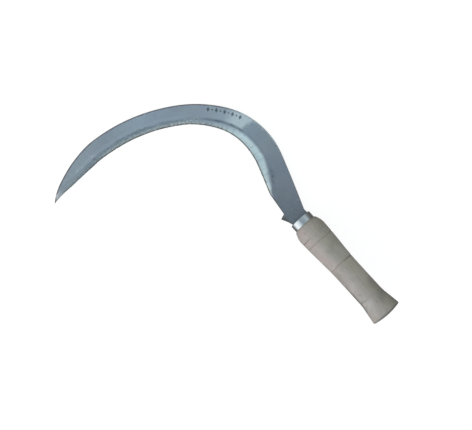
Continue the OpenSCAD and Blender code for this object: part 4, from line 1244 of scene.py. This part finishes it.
world = bpy.data.worlds.new("studio")
bpy.context.scene.world = world
world.use_nodes = True
t = Tree(world.node_tree)
look = t.node("TexCoord").outputs["Generated"]


def facing(d):
    n = t.node("VectorMath", operation="DOT_PRODUCT")
    t.put(n.inputs[0], look)
    t.put(n.inputs[1], d)
    return n.outputs["Value"]


def lobe(azimuth, off_zenith, inner, outer, colour):
    """A soft round patch of light: full within inner degrees, nothing beyond outer."""
    f = t.range(facing(direction(azimuth, off_zenith)), math.cos(math.radians(outer)), math.cos(math.radians(inner)))
    return t.mix(1.0, (0, 0, 0), t.mix(f, (0, 0, 0), colour), "ADD")


sky = t.ramp(t.range(facing((0, 0, 1)), 0.0, 1.0, smooth=False), [
    (0.0, (0.60, 0.62, 0.63)), (0.35, (0.56, 0.60, 0.63)), (0.75, (0.44, 0.50, 0.545)), (1.0, (0.385, 0.445, 0.495))])
for args in (
    (-88, 31, 3, 21, (0.30, 0.335, 0.345)),      # what the ground band mirrors in the crook
    (-92, 72, 16, 46, (0.78, 0.77, 0.75)),       # low window side
    (88, 46, 6, 24, (0.10, 0.12, 0.13)),         # faint light from the other side
):
    sky = t.mix(1.0, sky, lobe(*args), "ADD")
shade = t.range(facing(direction(90, 96)), math.cos(math.radians(50)), math.cos(math.radians(12)), 0.0, 0.85)
sky = t.mix(shade, sky, (0.17, 0.175, 0.165))
# below the horizon, for looking at the underside
sky = t.mix(t.range(facing((0, 0, -1)), 0.0, 0.9), sky, (0.46, 0.50, 0.54))
sky = t.mix(1.0, sky, lobe(-60, 150, 8, 40, (0.34, 0.34, 0.33)), "ADD")
bg = t.node("Background")
sky = t.mix(t.node("LightPath").outputs["Is Camera Ray"], sky, (1.0, 1.0, 1.0))
t.put(bg.inputs["Color"], sky)
t.put(bg.inputs["Strength"], 1.0)
o = t.node("OutputWorld")
t.t.links.new(bg.outputs[0], o.inputs[0])

key = bpy.data.lights.new("key_softbox", "AREA")
key.shape, key.size, key.size_y, key.energy = "RECTANGLE", 0.9, 0.5, 1.2
key.color = (1.0, 0.99, 0.97)
key_ob = bpy.data.objects.new("key_softbox", key)
bpy.context.scene.collection.objects.link(key_ob)
aim = Vector((centre.x, centre.y, 0.0))
key_ob.location = aim + Vector(direction(-100, 58)) * 1.3
key_ob.visible_glossy = False
key_ob.rotation_euler = (aim - key_ob.location).to_track_quat("-Z", "Y").to_euler()

# --------------------------------------------------------------------------
# camera: straight above, with the handle running down to the right
# --------------------------------------------------------------------------
cam = bpy.data.cameras.new("camera")
cam.sensor_width, cam.lens = 36.0, 59.49
cam_ob = bpy.data.objects.new("camera", cam)
bpy.context.scene.collection.objects.link(cam_ob)
cam_ob.location = Vector((centre.x - 0.01142, centre.y + 0.02650, 0.8593))
cam_ob.rotation_euler = (0.0, 0.0, math.radians(48.0))
bpy.context.scene.camera = cam_ob
bpy.context.scene.view_settings.view_transform = "Standard"
bpy.context.scene.view_settings.look = "None"
